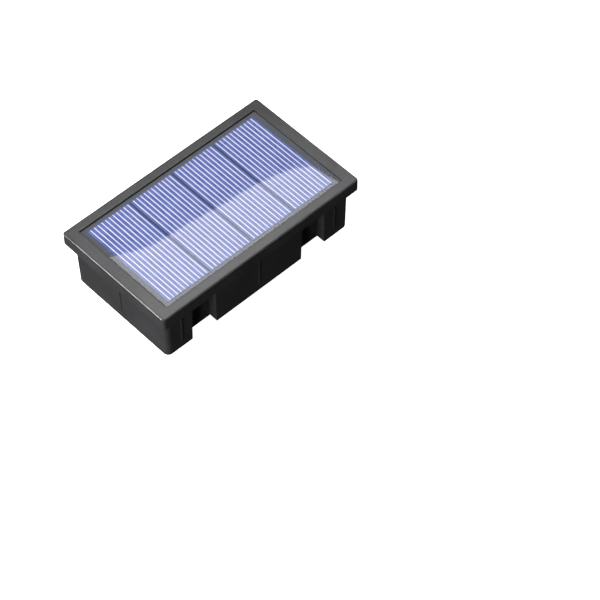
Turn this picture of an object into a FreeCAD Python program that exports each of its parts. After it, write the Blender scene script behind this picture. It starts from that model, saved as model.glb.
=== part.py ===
"""Drop-in solar light module of a fence lamp, built as a parametric assembly.

The module hangs by its flange in the top of a lamp: the lamp's rim stands in the channel
behind the skirt and bears on the flange plate. The solar panel faces up, the reflector
pocket with its light-emitting diode and the push switch face down.

Frame, in millimetres: the origin is the centre of the plane on which the lamp's rim bears,
+Z is up, X runs along the long side and the two notches are in the -Y wall.
"""
import FreeCAD, Part
import math
import os
import Sketcher

DRIVING_SIZES = {
    # flange, which covers the lamp's rim
    "flange_length": 94.0,
    "flange_width": 54.8,
    "flange_corner_radius": 1.2,
    "flange_edge_radius": 0.6,
    "plate_thickness": 1.8,
    "skirt_depth": 3.8,
    "skirt_wall": 1.2,
    "skirt_edge_radius": 0.3,
    # drafted body below the flange, which reaches out past it all round
    "flange_reach": 2.4,
    "body_depth": 24.4,
    "body_corner_radius": 2.2,
    "draft_angle": 1.0,
    "wall": 1.8,
    "lip_width": 1.1,
    "foot_edge_radius": 0.5,
    # the two notches in the -Y wall
    "notch_offset": 26.5,
    "notch_width": 10.8,
    "notch_depth": 3.8,
    # crush ribs that centre the body in the lamp
    "crush_rib_width": 0.6,
    "crush_rib_rise": 0.25,
    "crush_rib_inset": 7.4,
    "crush_rib_stop": 4.6,
    # ledge under the panel and webs between the long walls
    "ledge_inset": 4.3,
    "ledge_thickness": 1.3,
    "web_thickness": 1.4,
    "web_spacing": 28.0,
    # solar panel
    "bezel_end": 4.7,
    "bezel_side": 3.75,
    "panel_gap": 0.15,
    "panel_corner_radius": 0.6,
    "panel_setback": 0.15,
    "glue_thickness": 0.2,
    "backing_thickness": 1.6,
    "encapsulant_thickness": 0.5,
    "cell_margin_end": 2.45,
    "cell_margin_side": 1.9,
    "cell_gap": 1.0,
    "cell_thickness": 0.2,
    "terminal_size": 3.0,
    "terminal_thickness": 0.1,
    "terminal_spacing": 12.0,
    "terminal_x": -22.0,
    "terminal_y": -7.0,
    # bottom cover and its reflector pocket
    "cover_thickness": 1.6,
    "cover_clearance": 0.1,
    "pocket_length": 17.6,
    "pocket_width": 15.2,
    "pocket_depth": 5.4,
    "pocket_floor_length": 6.5,
    "pocket_floor_width": 5.7,
    "funnel_wall": 1.0,
    "collar_clearance": 0.1,
    # cover screws
    "screw_inset": 6.95,
    "screw_head_diameter": 3.5,
    "screw_head_height": 1.3,
    "screw_shank_diameter": 2.0,
    "screw_length": 8.0,
    "screw_hole_clearance": 0.15,
    "driver_slot_length": 2.0,
    "driver_slot_width": 0.45,
    "driver_slot_depth": 0.6,
    "counterbore_diameter": 4.7,
    "counterbore_depth": 2.3,
    "cup_wall": 1.2,
    "cup_floor": 1.3,
    "boss_diameter": 5.6,
    "thread_clearance": 0.03,
    "pilot_depth": 8.5,
    "gusset_thickness": 1.2,
    # circuit board and the two screws that hold it to the cover
    "board_thickness": 1.2,
    "board_end_gap": 3.65,
    "board_screw_margin": 2.6,
    "board_low_y": -8.0,
    "board_cradle_gap": 1.4,
    "board_screw_length": 5.0,
    "board_screw_hole": 2.4,
    "inner_screw_share": 0.4,
    "inner_screw_y": -4.5,
    "outer_screw_gap": 2.6,
    "outer_screw_y": 0.0,
    "post_diameter": 4.4,
    "post_pilot_depth": 5.2,
    "wire_hole_diameter": 0.9,
    # light-emitting diode
    "diode_size": 5.0,
    "diode_height": 1.6,
    "diode_window": 3.3,
    "diode_window_floor": 2.7,
    "diode_window_depth": 0.6,
    "diode_pad_thickness": 0.2,
    "diode_pad_width": 0.9,
    "diode_pad_length": 1.4,
    "diode_pad_pitch": 1.6,
    "diode_pad_reach": 0.2,
    # push switch
    "switch_from_screw": 10.15,
    "switch_edge_gap": 4.7,
    "switch_size": 7.0,
    "switch_setback": 0.15,
    "switch_wall": 0.7,
    "switch_top_wall": 0.8,
    "switch_base_thickness": 0.8,
    "pad_size": 11.6,
    "pad_rise": 2.1,
    "window_clearance": 0.15,
    "plunger_size": 4.0,
    "plunger_reach": 2.7,
    "plunger_clearance": 0.08,
    "plunger_edge_radius": 0.25,
    "plunger_collar_size": 5.2,
    "plunger_collar_thickness": 1.0,
    "plunger_stop_gap": 0.05,
    "plunger_spigot_diameter": 1.5,
    "plunger_spigot_length": 1.5,
    "switch_spring_diameter": 2.6,
    "switch_spring_wire": 0.3,
    "switch_spring_turns": 5.0,
    "switch_spring_gap": 0.05,
    "contact_thickness": 0.2,
    "contact_length": 4.4,
    "contact_leg_length": 2.4,
    "contact_strip_width": 0.5,
    "pin_width": 0.6,
    "pin_thickness": 0.4,
    "pin_pitch": 1.7,
    "pin_blade": 2.6,
    "pin_tail": 1.2,
    "pin_gap": 0.2,
    "pin_wall_gap": 0.2,
    # driver chip and inductor on the circuit board
    "chip_x": -6.0,
    "chip_y": -5.0,
    "chip_width": 4.1,
    "chip_depth": 1.6,
    "chip_height": 3.5,
    "chip_stand": 2.5,
    "chip_chamfer": 0.5,
    "chip_leg_size": 0.4,
    "chip_leg_pitch": 1.27,
    "leg_tail": 0.6,
    "leg_hole_diameter": 0.75,
    "inductor_from_screw": 11.65,
    "inductor_y": -4.6,
    "inductor_length": 6.8,
    "inductor_end_diameter": 3.2,
    "inductor_waist_diameter": 2.7,
    "inductor_cap_length": 1.5,
    "inductor_lead_diameter": 0.55,
    "inductor_lead_pitch": 10.0,
    "inductor_lead_bend": 1.0,
    "inductor_stand": 0.3,
    # solder round each leg, pin and wire
    "solder_diameter": 1.5,
    "leg_solder_diameter": 1.1,
    "solder_height": 0.4,
    # battery: one AA nickel-metal hydride cell
    "battery_x": 5.8,
    "battery_wall_gap": 2.85,
    "battery_headroom": 0.4,
    "can_diameter": 14.0,
    "can_length": 48.9,
    "can_groove_width": 1.2,
    "can_groove_depth": 0.6,
    "can_groove_offset": 3.0,
    "sleeve_thickness": 0.15,
    "sleeve_rim_diameter": 11.0,
    "washer_thickness": 0.3,
    "button_diameter": 5.5,
    "button_height": 1.4,
    "saddle_clearance": 0.1,
    "cradle_inner_reach": 0.8,
    "cradle_outer_reach": 7.2,
    "tab_thickness": 0.2,
    "tab_width": 4.0,
    "tab_reach": 5.0,
    "tab_foot": 3.0,
    # insulated wires
    "wire_diameter": 1.2,
    "wire_core_diameter": 0.6,
    "wire_core_tail": 0.5,
    "wire_bend_radius": 2.4,
    "wire_row_gap": 11.6,
    "battery_black_x": -25.6,
    "panel_black_x": -21.6,
    "panel_red_x": -17.4,
    "battery_red_x": -12.0,
}


class Dim:
    """A number together with the spreadsheet formula that gives it."""

    def __init__(self, text, value):
        self.text = text
        self.value = value

    def __add__(self, other):
        other = as_dim(other)
        return Dim(f"({self.text} + {other.text})", self.value + other.value)

    def __sub__(self, other):
        other = as_dim(other)
        return Dim(f"({self.text} - {other.text})", self.value - other.value)

    def __mul__(self, other):
        other = as_dim(other)
        return Dim(f"({self.text} * {other.text})", self.value * other.value)

    def __truediv__(self, other):
        other = as_dim(other)
        return Dim(f"({self.text} / {other.text})", self.value / other.value)

    def __radd__(self, other):
        return as_dim(other) + self

    def __rsub__(self, other):
        return as_dim(other) - self

    def __rmul__(self, other):
        return as_dim(other) * self

    def __neg__(self):
        return as_dim(0) - self

    def __float__(self):
        return float(self.value)


def as_dim(number):
    """Plain numbers, such as the 2 of a half, join a formula as they are."""
    if isinstance(number, Dim):
        return number
    return Dim(repr(number), number)


def tangent(angle):
    return Dim(f"tan({angle.text} * 1deg)", math.tan(math.radians(angle.value)))


class Plan:
    """The driving sizes by name, and the levels and outlines worked out from them."""

    def __init__(self, names):
        for name, value in names.items():
            setattr(self, name, Dim(f"Sizes.{name}", value))
        # levels, from the top down
        self.top_z = self.plate_thickness
        self.panel_z = self.top_z - self.panel_setback
        self.cell_z = self.panel_z - self.encapsulant_thickness
        self.panel_back_z = self.cell_z - self.backing_thickness
        self.ledge_z = self.panel_back_z - self.glue_thickness
        self.cavity_z = self.ledge_z - self.ledge_thickness
        self.foot_z = -self.body_depth
        self.pocket_floor_z = self.foot_z + self.pocket_depth
        self.board_z = self.pocket_floor_z + self.diode_height
        self.board_top_z = self.board_z + self.board_thickness
        self.pad_z = self.foot_z - self.pad_rise
        self.switch_top_z = self.pad_z + self.switch_setback
        self.switch_base_z = self.board_z - self.switch_base_thickness
        self.collar_z = self.switch_top_z + self.switch_top_wall + self.plunger_stop_gap
        self.spring_seat_z = self.collar_z + self.plunger_collar_thickness
        self.cup_z = self.foot_z + self.counterbore_depth + self.cup_floor
        # outlines that follow the flange
        self.body_length = self.flange_length - self.flange_reach * 2
        self.body_width = self.flange_width - self.flange_reach * 2
        self.panel_length = self.flange_length - (self.bezel_end + self.panel_gap) * 2
        self.panel_width = self.flange_width - (self.bezel_side + self.panel_gap) * 2
        self.cell_area_length = self.panel_length - self.cell_margin_end * 2
        self.cell_area_width = self.panel_width - self.cell_margin_side * 2
        self.crush_rib_x = self.body_length / 2 - self.crush_rib_inset
        # bore that a screw's thread fills
        self.thread_diameter = self.screw_shank_diameter + self.thread_clearance * 2
        # battery, lying along X under the panel
        self.battery_diameter = self.can_diameter + self.sleeve_thickness * 2
        self.battery_z = self.panel_back_z - self.battery_headroom - self.battery_diameter / 2
        self.battery_y = (self.body_width / 2 - self.wall - self.battery_wall_gap
                          - self.battery_diameter / 2)
        self.cradle_low_y = self.battery_y - self.cradle_inner_reach
        self.cradle_high_y = self.battery_y + self.cradle_outer_reach
        self.wire_row_y = self.battery_y - self.wire_row_gap
        self.can_low_x = self.battery_x - self.can_length / 2
        self.can_high_x = self.battery_x + self.can_length / 2
        self.button_x = self.can_high_x + self.button_height
        # screws, and what stands on the board beside them
        self.screw_x = self.body_length / 2 - self.screw_inset
        self.inner_screw_x = -self.screw_x * self.inner_screw_share
        self.outer_screw_x = self.pocket_length / 2 + self.outer_screw_gap
        self.switch_x = self.switch_from_screw - self.screw_x
        self.inductor_x = self.inductor_from_screw - self.screw_x
        self.board_low_x = self.board_end_gap - self.screw_x
        self.board_high_x = self.outer_screw_x + self.board_screw_margin
        self.board_high_y = self.cradle_low_y - self.board_cradle_gap
        self.switch_y = self.board_high_y - self.switch_edge_gap
        # how far the drafted wall has leaned in at the notches' roof and at the foot
        self.cavity_lean = -self.cavity_z * tangent(self.draft_angle)
        self.foot_lean = self.body_depth * tangent(self.draft_angle)


def make_sheet(doc):
    sheet = doc.addObject("Spreadsheet::Sheet", "Sizes")
    for row, (name, value) in enumerate(DRIVING_SIZES.items(), 1):
        sheet.set(f"A{row}", name)
        sheet.set(f"B{row}", str(value))
        sheet.setAlias(f"B{row}", name)
    doc.recompute()
    return Plan(DRIVING_SIZES)


# ---------------------------------------------------------------- building blocks


def new_body(doc, label):
    body = doc.addObject("PartDesign::Body", label)
    body.Label = label
    body.AllowCompound = True
    return body


def bind(item, path, formula):
    """Ties a property to the sheet."""
    item.setExpression(path, as_dim(formula).text)


def place(item, x, y, z):
    bind(item, ".Placement.Base.x", x)
    bind(item, ".Placement.Base.y", y)
    bind(item, ".Placement.Base.z", z)


def sketch_on(body, name, role, height=0):
    """A sketch on one of the body's own planes: XY is seen from above, XZ and YZ have Z upwards."""
    plane = next(item for item in body.Origin.OriginFeatures if item.Role == role)
    sketch = body.newObject("Sketcher::SketchObject", name)
    sketch.AttachmentSupport = [(plane, "")]
    sketch.MapMode = "FlatFace"
    bind(sketch, ".AttachmentOffset.Base.z", height)
    return sketch


def pin_point(sketch, geometry, vertex, x, y):
    """Dimensions one point of the sketch from its origin."""
    for kind, formula in (("DistanceX", as_dim(x)), ("DistanceY", as_dim(y))):
        constraint = Sketcher.Constraint(kind, -1, 1, geometry, vertex, float(formula))
        number = sketch.addConstraint(constraint)
        bind(sketch, f"Constraints[{number}]", formula)


def polygon(sketch, corners):
    first = sketch.GeometryCount
    points = [FreeCAD.Vector(float(as_dim(x)), float(as_dim(y)), 0) for x, y in corners]
    count = len(points)
    for index in range(count):
        side = Part.LineSegment(points[index], points[(index + 1) % count])
        sketch.addGeometry(side, False)
    for index in range(count):
        following = first + (index + 1) % count
        sketch.addConstraint(Sketcher.Constraint("Coincident", first + index, 2, following, 1))
    for index, (x, y) in enumerate(corners):
        pin_point(sketch, first + index, 1, x, y)
    return sketch


def rectangle(sketch, low_x, high_x, low_y, high_y):
    return polygon(sketch, [(low_x, low_y), (high_x, low_y), (high_x, high_y), (low_x, high_y)])


def centred(sketch, length, width, x=0, y=0):
    x = as_dim(x)
    y = as_dim(y)
    return rectangle(sketch, x - length / 2, x + length / 2, y - width / 2, y + width / 2)


def circle(sketch, x, y, diameter):
    centre = FreeCAD.Vector(float(as_dim(x)), float(as_dim(y)), 0)
    number = sketch.addGeometry(Part.Circle(centre, FreeCAD.Vector(0, 0, 1), float(diameter) / 2))
    pin_point(sketch, number, 3, x, y)
    size = sketch.addConstraint(Sketcher.Constraint("Diameter", number, float(diameter)))
    bind(sketch, f"Constraints[{size}]", diameter)
    return sketch


def extrude(body, kind, profile, length, back=False, both=False, taper=None):
    item = body.newObject(f"PartDesign::{kind}", f"{profile.Name}_{kind.lower()}")
    item.Profile = profile
    bind(item, "Length", length)
    item.Reversed = back
    if both:
        item.SideType = "Symmetric"
    if taper is not None:
        bind(item, "TaperAngle", taper)
    profile.Visibility = False
    return item


def pad_up(body, profile, length):
    return extrude(body, "Pad", profile, length)


def pad_down(body, profile, length, taper=None):
    return extrude(body, "Pad", profile, length, back=True, taper=taper)


def pad_both(body, profile, length):
    return extrude(body, "Pad", profile, length, both=True)


def cut_down(body, profile, length, taper=None):
    return extrude(body, "Pocket", profile, length, taper=taper)


def cut_up(body, profile, length):
    return extrude(body, "Pocket", profile, length, back=True)


def cut_both(body, profile, length):
    return extrude(body, "Pocket", profile, length, both=True)


def loft(body, kind, profile, section):
    item = body.newObject(f"PartDesign::{kind}", f"{profile.Name}_loft")
    item.Profile = profile
    item.Sections = [section]
    item.Ruled = True
    return item


def revolve(body, profile, axis):
    item = body.newObject("PartDesign::Revolution", f"{profile.Name}_turned")
    item.Profile = profile
    item.ReferenceAxis = (profile, [axis])
    item.Angle = 360
    return item


def edges_of_tip(body, wanted):
    """The body's last feature with the names of those of its edges that the test picks."""
    body.Document.recompute()
    base = body.Tip
    names = [f"Edge{number}" for number, edge in enumerate(base.Shape.Edges, 1) if wanted(edge)]
    if not names:
        raise ValueError(f"{body.Label}: no edge matches")
    return base, names


def round_edges(body, radius, wanted):
    item_base = edges_of_tip(body, wanted)
    item = body.newObject("PartDesign::Fillet", f"{body.Name}_fillet")
    item.Base = item_base
    bind(item, "Radius", radius)
    return item


def bevel_edges(body, size, wanted):
    item_base = edges_of_tip(body, wanted)
    item = body.newObject("PartDesign::Chamfer", f"{body.Name}_chamfer")
    item.Base = item_base
    bind(item, "Size", size)
    return item


TOLERANCE = 0.001
UPRIGHT_SLOPE = 0.1


def upright(edge):
    """Whether an edge runs from top to bottom, straight or along the draft."""
    box = edge.BoundBox
    sideways = math.hypot(box.XLength, box.YLength)
    return box.ZLength > TOLERANCE and sideways < UPRIGHT_SLOPE * box.ZLength


def level(edge, z):
    """Whether an edge lies wholly at one height."""
    box = edge.BoundBox
    return abs(box.ZMin - float(z)) < TOLERANCE and abs(box.ZMax - float(z)) < TOLERANCE


def at_corner(edge, half_length, half_width, reach):
    """Whether an edge is at one of the four corners of a rectangle round the origin."""
    centre = edge.BoundBox.Center
    return (float(half_length) - abs(centre.x) < reach
            and float(half_width) - abs(centre.y) < reach)


def beyond(edge, half_length, half_width):
    """Whether an edge reaches outside a rectangle round the origin."""
    box = edge.BoundBox
    return (max(abs(box.XMin), abs(box.XMax)) > float(half_length) + TOLERANCE
            or max(abs(box.YMin), abs(box.YMax)) > float(half_width) + TOLERANCE)


def notched_outline(sketch, plan, inset):
    """The body's outline with its two notches, moved inwards by the inset all round."""
    end_x = plan.body_length / 2 - inset
    side_y = plan.body_width / 2 - inset
    notch_y = -(plan.body_width / 2) + plan.notch_depth + inset
    corners = [(-end_x, -side_y)]
    for middle in (-plan.notch_offset, plan.notch_offset):
        low_x = middle - plan.notch_width / 2 - inset
        high_x = middle + plan.notch_width / 2 + inset
        corners += [(low_x, -side_y), (low_x, notch_y), (high_x, notch_y), (high_x, -side_y)]
    corners += [(end_x, -side_y), (end_x, side_y), (-end_x, side_y)]
    return polygon(sketch, corners)


# ---------------------------------------------------------------- moulded housing


def housing(doc, plan):
    """Flange with skirt and rim channel, drafted body, ledge, webs and screw columns."""
    body = new_body(doc, "housing")
    flange = sketch_on(body, "flange_outline", "XY_Plane", plan.top_z)
    centred(flange, plan.flange_length, plan.flange_width)
    pad_down(body, flange, plan.plate_thickness + plan.skirt_depth)
    round_edges(body, plan.flange_corner_radius, upright)
    channel = sketch_on(body, "rim_channel", "XY_Plane", -plan.skirt_depth)
    double_skirt = plan.skirt_wall * 2
    centred(channel, plan.flange_length - double_skirt, plan.flange_width - double_skirt)
    cut_up(body, channel, plan.skirt_depth)

    collar = sketch_on(body, "body_outline", "XY_Plane")
    centred(collar, plan.body_length, plan.body_width)
    pad_down(body, collar, -plan.cavity_z, taper=-plan.draft_angle)
    lower = sketch_on(body, "notched_outline", "XY_Plane", plan.cavity_z)
    pad_down(body, notched_outline(lower, plan, plan.cavity_lean), plan.body_depth + plan.cavity_z,
             taper=-plan.draft_angle)
    half_length = plan.body_length / 2
    half_width = plan.body_width / 2
    reach = float(plan.foot_lean) + TOLERANCE
    round_edges(body, plan.body_corner_radius,
                lambda edge: upright(edge) and at_corner(edge, half_length, half_width, reach))
    hollow_out(body, plan)
    battery_webs(body, plan)
    screw_columns(body, plan)
    soften_outer_edges(body, plan)
    crush_ribs(body, plan)
    return body


def hollow_out(body, plan):
    """Panel recess, opening in the ledge, drafted cavity and the seat of the bottom cover."""
    recess = sketch_on(body, "panel_recess", "XY_Plane", plan.top_z)
    double_gap = plan.panel_gap * 2
    centred(recess, plan.panel_length + double_gap, plan.panel_width + double_gap)
    cut_down(body, recess, plan.top_z - plan.ledge_z)
    opening = sketch_on(body, "ledge_opening", "XY_Plane", plan.ledge_z)
    cut_down(body, notched_outline(opening, plan, plan.ledge_inset), plan.ledge_thickness)
    cavity = sketch_on(body, "cavity", "XY_Plane", plan.cavity_z)
    cut_down(body, notched_outline(cavity, plan, plan.wall + plan.cavity_lean),
             plan.body_depth + plan.cavity_z, taper=-plan.draft_angle)
    seat = sketch_on(body, "cover_seat", "XY_Plane", plan.foot_z)
    inset = plan.foot_lean + plan.lip_width
    cut_up(body, notched_outline(seat, plan, inset), plan.cover_thickness)
    seat_x = plan.body_length / 2 - inset
    seat_y = plan.body_width / 2 - inset
    round_edges(body, plan.body_corner_radius - plan.lip_width,
                lambda edge: upright(edge) and at_corner(edge, seat_x, seat_y, TOLERANCE))


def web_places(plan):
    """Where the two webs and the cover's cradle ribs cross the battery."""
    return [plan.battery_x + side * plan.web_spacing / 2 for side in (-1, 1)]


def battery_webs(body, plan):
    """Two webs from wall to wall, each with a half-round saddle over the battery."""
    inner_y = plan.body_width / 2 - plan.wall / 2
    half = plan.web_thickness / 2
    webs = sketch_on(body, "webs", "XY_Plane", plan.cavity_z)
    for x in web_places(plan):
        rectangle(webs, x - half, x + half, -inner_y, inner_y)
    pad_down(body, webs, plan.cavity_z - plan.battery_z)
    saddle = sketch_on(body, "battery_saddle", "YZ_Plane", plan.battery_x)
    saddle_diameter = plan.battery_diameter + plan.saddle_clearance * 2
    circle(saddle, plan.battery_y, plan.battery_z, saddle_diameter)
    cut_both(body, saddle, plan.web_spacing + plan.web_thickness * 2)


def screw_places(plan):
    return [(side * plan.screw_x, as_dim(0)) for side in (-1, 1)]


def screw_columns(body, plan):
    """The two columns that take the cover screws, each tied to the end wall by a gusset."""
    height = plan.cavity_z - plan.cup_z
    columns = sketch_on(body, "screw_columns", "XY_Plane", plan.cavity_z)
    for x, y in screw_places(plan):
        circle(columns, x, y, plan.boss_diameter)
    pad_down(body, columns, height)
    gussets = sketch_on(body, "gussets", "XY_Plane", plan.cavity_z)
    wall_x = plan.body_length / 2 - plan.foot_lean - plan.wall / 2
    half = plan.gusset_thickness / 2
    rectangle(gussets, plan.screw_x, wall_x, -half, half)
    rectangle(gussets, -wall_x, -plan.screw_x, -half, half)
    pad_down(body, gussets, height)
    pilots = sketch_on(body, "screw_pilots", "XY_Plane", plan.cup_z)
    for x, y in screw_places(plan):
        circle(pilots, x, y, plan.thread_diameter)
    cut_up(body, pilots, plan.pilot_depth)


def soften_outer_edges(body, plan):
    """Rounds the bezel's outer edge, the skirt's outer edge and the foot of the body."""
    recess_x = plan.panel_length / 2 + plan.panel_gap
    recess_y = plan.panel_width / 2 + plan.panel_gap
    round_edges(body, plan.flange_edge_radius,
                lambda edge: level(edge, plan.top_z) and beyond(edge, recess_x, recess_y))
    channel_x = plan.flange_length / 2 - plan.skirt_wall
    channel_y = plan.flange_width / 2 - plan.skirt_wall
    round_edges(body, plan.skirt_edge_radius,
                lambda edge: level(edge, -plan.skirt_depth) and beyond(edge, channel_x, channel_y))
    lip_x = plan.body_length / 2 - plan.foot_lean - plan.lip_width
    lip_y = plan.body_width / 2 - plan.foot_lean - plan.lip_width
    notch_y = float(-(plan.body_width / 2) + plan.notch_depth + plan.foot_lean)

    def on_foot(edge):
        in_notch = abs(edge.BoundBox.YMax - notch_y) < TOLERANCE
        return level(edge, plan.foot_z) and (beyond(edge, lip_x, lip_y) or in_notch)

    round_edges(body, plan.foot_edge_radius, on_foot)


def crush_ribs(body, plan):
    """Slim upright ribs on the walls that lean with the draft and centre the body in the lamp."""
    depth = plan.body_depth - plan.crush_rib_stop
    lean = depth * tangent(plan.draft_angle)
    side_walls = [(place, "YZ_Plane", plan.body_width / 2)
                  for place in (-plan.crush_rib_x, as_dim(0), plan.crush_rib_x)]
    end_walls = [(as_dim(0), "XZ_Plane", plan.body_length / 2)]
    for place, plane, half in side_walls + end_walls:
        root = half - plan.wall / 2
        crest = half + plan.crush_rib_rise
        ribs = sketch_on(body, "crush_ribs", plane, place)
        for side in (-1, 1):
            polygon(ribs, [(side * root, 0), (side * crest, 0),
                           (side * (crest - lean), -depth), (side * (root - lean), -depth)])
        pad_both(body, ribs, plan.crush_rib_width)


# ---------------------------------------------------------------- bottom cover


def bottom_cover(doc, plan):
    """Inset plate with the reflector funnel, raised switch pad, screw cups and board posts."""
    body = new_body(doc, "bottom_cover")
    inset = plan.foot_lean + plan.lip_width + plan.cover_clearance
    plate = sketch_on(body, "plate_outline", "XY_Plane", plan.foot_z)
    pad_up(body, notched_outline(plate, plan, inset), plan.cover_thickness)
    corner_x = plan.body_length / 2 - inset
    corner_y = plan.body_width / 2 - inset
    round_edges(body, plan.body_corner_radius - plan.lip_width,
                lambda edge: upright(edge) and at_corner(edge, corner_x, corner_y, TOLERANCE))
    switch_pad = sketch_on(body, "switch_pad", "XY_Plane", plan.foot_z)
    centred(switch_pad, plan.pad_size, plan.pad_size, plan.switch_x, plan.switch_y)
    pad_down(body, switch_pad, plan.pad_rise)
    funnel_outside(body, plan)
    cover_uprights(body, plan)
    cover_cuts(body, plan)
    return body


def funnel_outside(body, plan):
    """The funnel's tapered shell and the collar that runs on round the diode."""
    double_wall = plan.funnel_wall * 2
    throat_length = plan.pocket_floor_length + double_wall
    throat_width = plan.pocket_floor_width + double_wall
    mouth = sketch_on(body, "funnel_outer_mouth", "XY_Plane", plan.foot_z)
    centred(mouth, plan.pocket_length + double_wall, plan.pocket_width + double_wall)
    throat = sketch_on(body, "funnel_outer_throat", "XY_Plane", plan.pocket_floor_z)
    loft(body, "AdditiveLoft", mouth, centred(throat, throat_length, throat_width))
    collar = sketch_on(body, "diode_collar", "XY_Plane", plan.pocket_floor_z)
    pad_up(body, centred(collar, throat_length, throat_width), plan.diode_height - plan.collar_clearance)


def board_screw_places(plan):
    return [(plan.inner_screw_x, plan.inner_screw_y), (plan.outer_screw_x, plan.outer_screw_y)]


def cover_uprights(body, plan):
    """Cups over the screw heads, posts under the circuit board, cradle ribs for the battery."""
    cups = sketch_on(body, "screw_cups", "XY_Plane", plan.foot_z)
    for x, y in screw_places(plan):
        circle(cups, x, y, plan.counterbore_diameter + plan.cup_wall * 2)
    pad_up(body, cups, plan.cup_z - plan.foot_z)
    posts = sketch_on(body, "board_posts", "XY_Plane", plan.foot_z)
    for x, y in board_screw_places(plan):
        circle(posts, x, y, plan.post_diameter)
    pad_up(body, posts, plan.board_z - plan.foot_z)
    cradle = sketch_on(body, "cradle_ribs", "XY_Plane", plan.foot_z)
    half = plan.web_thickness / 2
    for x in web_places(plan):
        rectangle(cradle, x - half, x + half, plan.cradle_low_y, plan.cradle_high_y)
    pad_up(body, cradle, plan.battery_z - plan.battery_diameter / 4 - plan.foot_z)
    rest = sketch_on(body, "battery_rest", "YZ_Plane", plan.battery_x)
    circle(rest, plan.battery_y, plan.battery_z, plan.battery_diameter)
    cut_both(body, rest, plan.web_spacing + plan.web_thickness * 2)


def cover_cuts(body, plan):
    """Funnel, switch window, counterbored screw holes and the pilots in the board posts."""
    mouth = sketch_on(body, "funnel_mouth", "XY_Plane", plan.foot_z)
    centred(mouth, plan.pocket_length, plan.pocket_width)
    throat = sketch_on(body, "funnel_throat", "XY_Plane", plan.pocket_floor_z)
    centred(throat, plan.pocket_floor_length, plan.pocket_floor_width)
    loft(body, "SubtractiveLoft", mouth, throat)
    well = sketch_on(body, "diode_well", "XY_Plane", plan.pocket_floor_z)
    centred(well, plan.pocket_floor_length, plan.pocket_floor_width)
    cut_up(body, well, plan.diode_height)
    window = sketch_on(body, "switch_window", "XY_Plane", plan.pad_z)
    opening = plan.switch_size + plan.window_clearance * 2
    centred(window, opening, opening, plan.switch_x, plan.switch_y)
    cut_up(body, window, plan.pad_rise + plan.cover_thickness)
    bores = sketch_on(body, "counterbores", "XY_Plane", plan.foot_z)
    holes = sketch_on(body, "screw_holes", "XY_Plane", plan.foot_z)
    for x, y in screw_places(plan):
        circle(bores, x, y, plan.counterbore_diameter)
        circle(holes, x, y, plan.screw_shank_diameter + plan.screw_hole_clearance * 2)
    cut_up(body, bores, plan.counterbore_depth)
    cut_up(body, holes, plan.cup_z - plan.foot_z)
    pilots = sketch_on(body, "post_pilots", "XY_Plane", plan.board_z)
    for x, y in board_screw_places(plan):
        circle(pilots, x, y, plan.thread_diameter)
    cut_down(body, pilots, plan.post_pilot_depth)


# ---------------------------------------------------------------- screws


def cover_screws(doc, plan):
    """Two screws with their heads down in the cover's counterbores."""
    body = new_body(doc, "cover_screws")
    seat_z = plan.foot_z + plan.counterbore_depth
    return draw_screws(body, plan, screw_places(plan), seat_z, plan.screw_length, heads_down=True)


def board_screws(doc, plan):
    """Two shorter screws with their heads up on the circuit board."""
    body = new_body(doc, "board_screws")
    places = board_screw_places(plan)
    return draw_screws(body, plan, places, plan.board_top_z, plan.board_screw_length, heads_down=False)


def draw_screws(body, plan, places, seat_z, length, heads_down):
    """Cross-recessed pan-head screws. Their heads stand away from the seat, the shanks go in."""
    heads = sketch_on(body, "heads", "XY_Plane", seat_z)
    shanks = sketch_on(body, "shanks", "XY_Plane", seat_z)
    for x, y in places:
        circle(heads, x, y, plan.screw_head_diameter)
        circle(shanks, x, y, plan.screw_shank_diameter)
    if heads_down:
        pad_down(body, heads, plan.screw_head_height)
        pad_up(body, shanks, length)
        face_z = seat_z - plan.screw_head_height
        tip_z = seat_z + length
    else:
        pad_up(body, heads, plan.screw_head_height)
        pad_down(body, shanks, length)
        face_z = seat_z + plan.screw_head_height
        tip_z = seat_z - length
    round_edges(body, plan.screw_head_height / 2, lambda edge: level(edge, face_z))
    bevel_edges(body, plan.screw_shank_diameter / 3, lambda edge: level(edge, tip_z))
    cut_slot = cut_up if heads_down else cut_down
    for length_x, length_y in ((plan.driver_slot_length, plan.driver_slot_width),
                               (plan.driver_slot_width, plan.driver_slot_length)):
        slot = sketch_on(body, "driver_slot", "XY_Plane", face_z)
        for x, y in places:
            centred(slot, length_x, length_y, x, y)
        cut_slot(body, slot, plan.driver_slot_depth)
    return body


# ---------------------------------------------------------------- solar panel


def panel_slab(doc, plan, label, low_z, thickness):
    """One full-size layer of the panel, with its small corner radius."""
    body = new_body(doc, label)
    outline = sketch_on(body, "panel_outline", "XY_Plane", low_z)
    pad_up(body, centred(outline, plan.panel_length, plan.panel_width), thickness)
    round_edges(body, plan.panel_corner_radius, upright)
    return body


def draw_cells(sketch, plan):
    """Four equal cells in a row, with a gap between neighbours."""
    count = 4
    cell_length = (plan.cell_area_length - plan.cell_gap * (count - 1)) / count
    pitch = cell_length + plan.cell_gap
    for index in range(count):
        x = pitch * (index - (count - 1) / 2)
        centred(sketch, cell_length, plan.cell_area_width, x, 0)
    return sketch


def panel_backing_board(doc, plan):
    return panel_slab(doc, plan, "panel_backing_board", plan.panel_back_z, plan.backing_thickness)


def solar_cells(doc, plan):
    body = new_body(doc, "solar_cells")
    cells = draw_cells(sketch_on(body, "cells", "XY_Plane", plan.cell_z), plan)
    pad_up(body, cells, plan.cell_thickness)
    return body


def panel_encapsulant(doc, plan):
    """The clear layer, cast over the backing board and round the cells."""
    body = panel_slab(doc, plan, "panel_encapsulant", plan.cell_z, plan.encapsulant_thickness)
    cells = draw_cells(sketch_on(body, "cell_pockets", "XY_Plane", plan.cell_z), plan)
    cut_up(body, cells, plan.cell_thickness)
    return body


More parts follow.
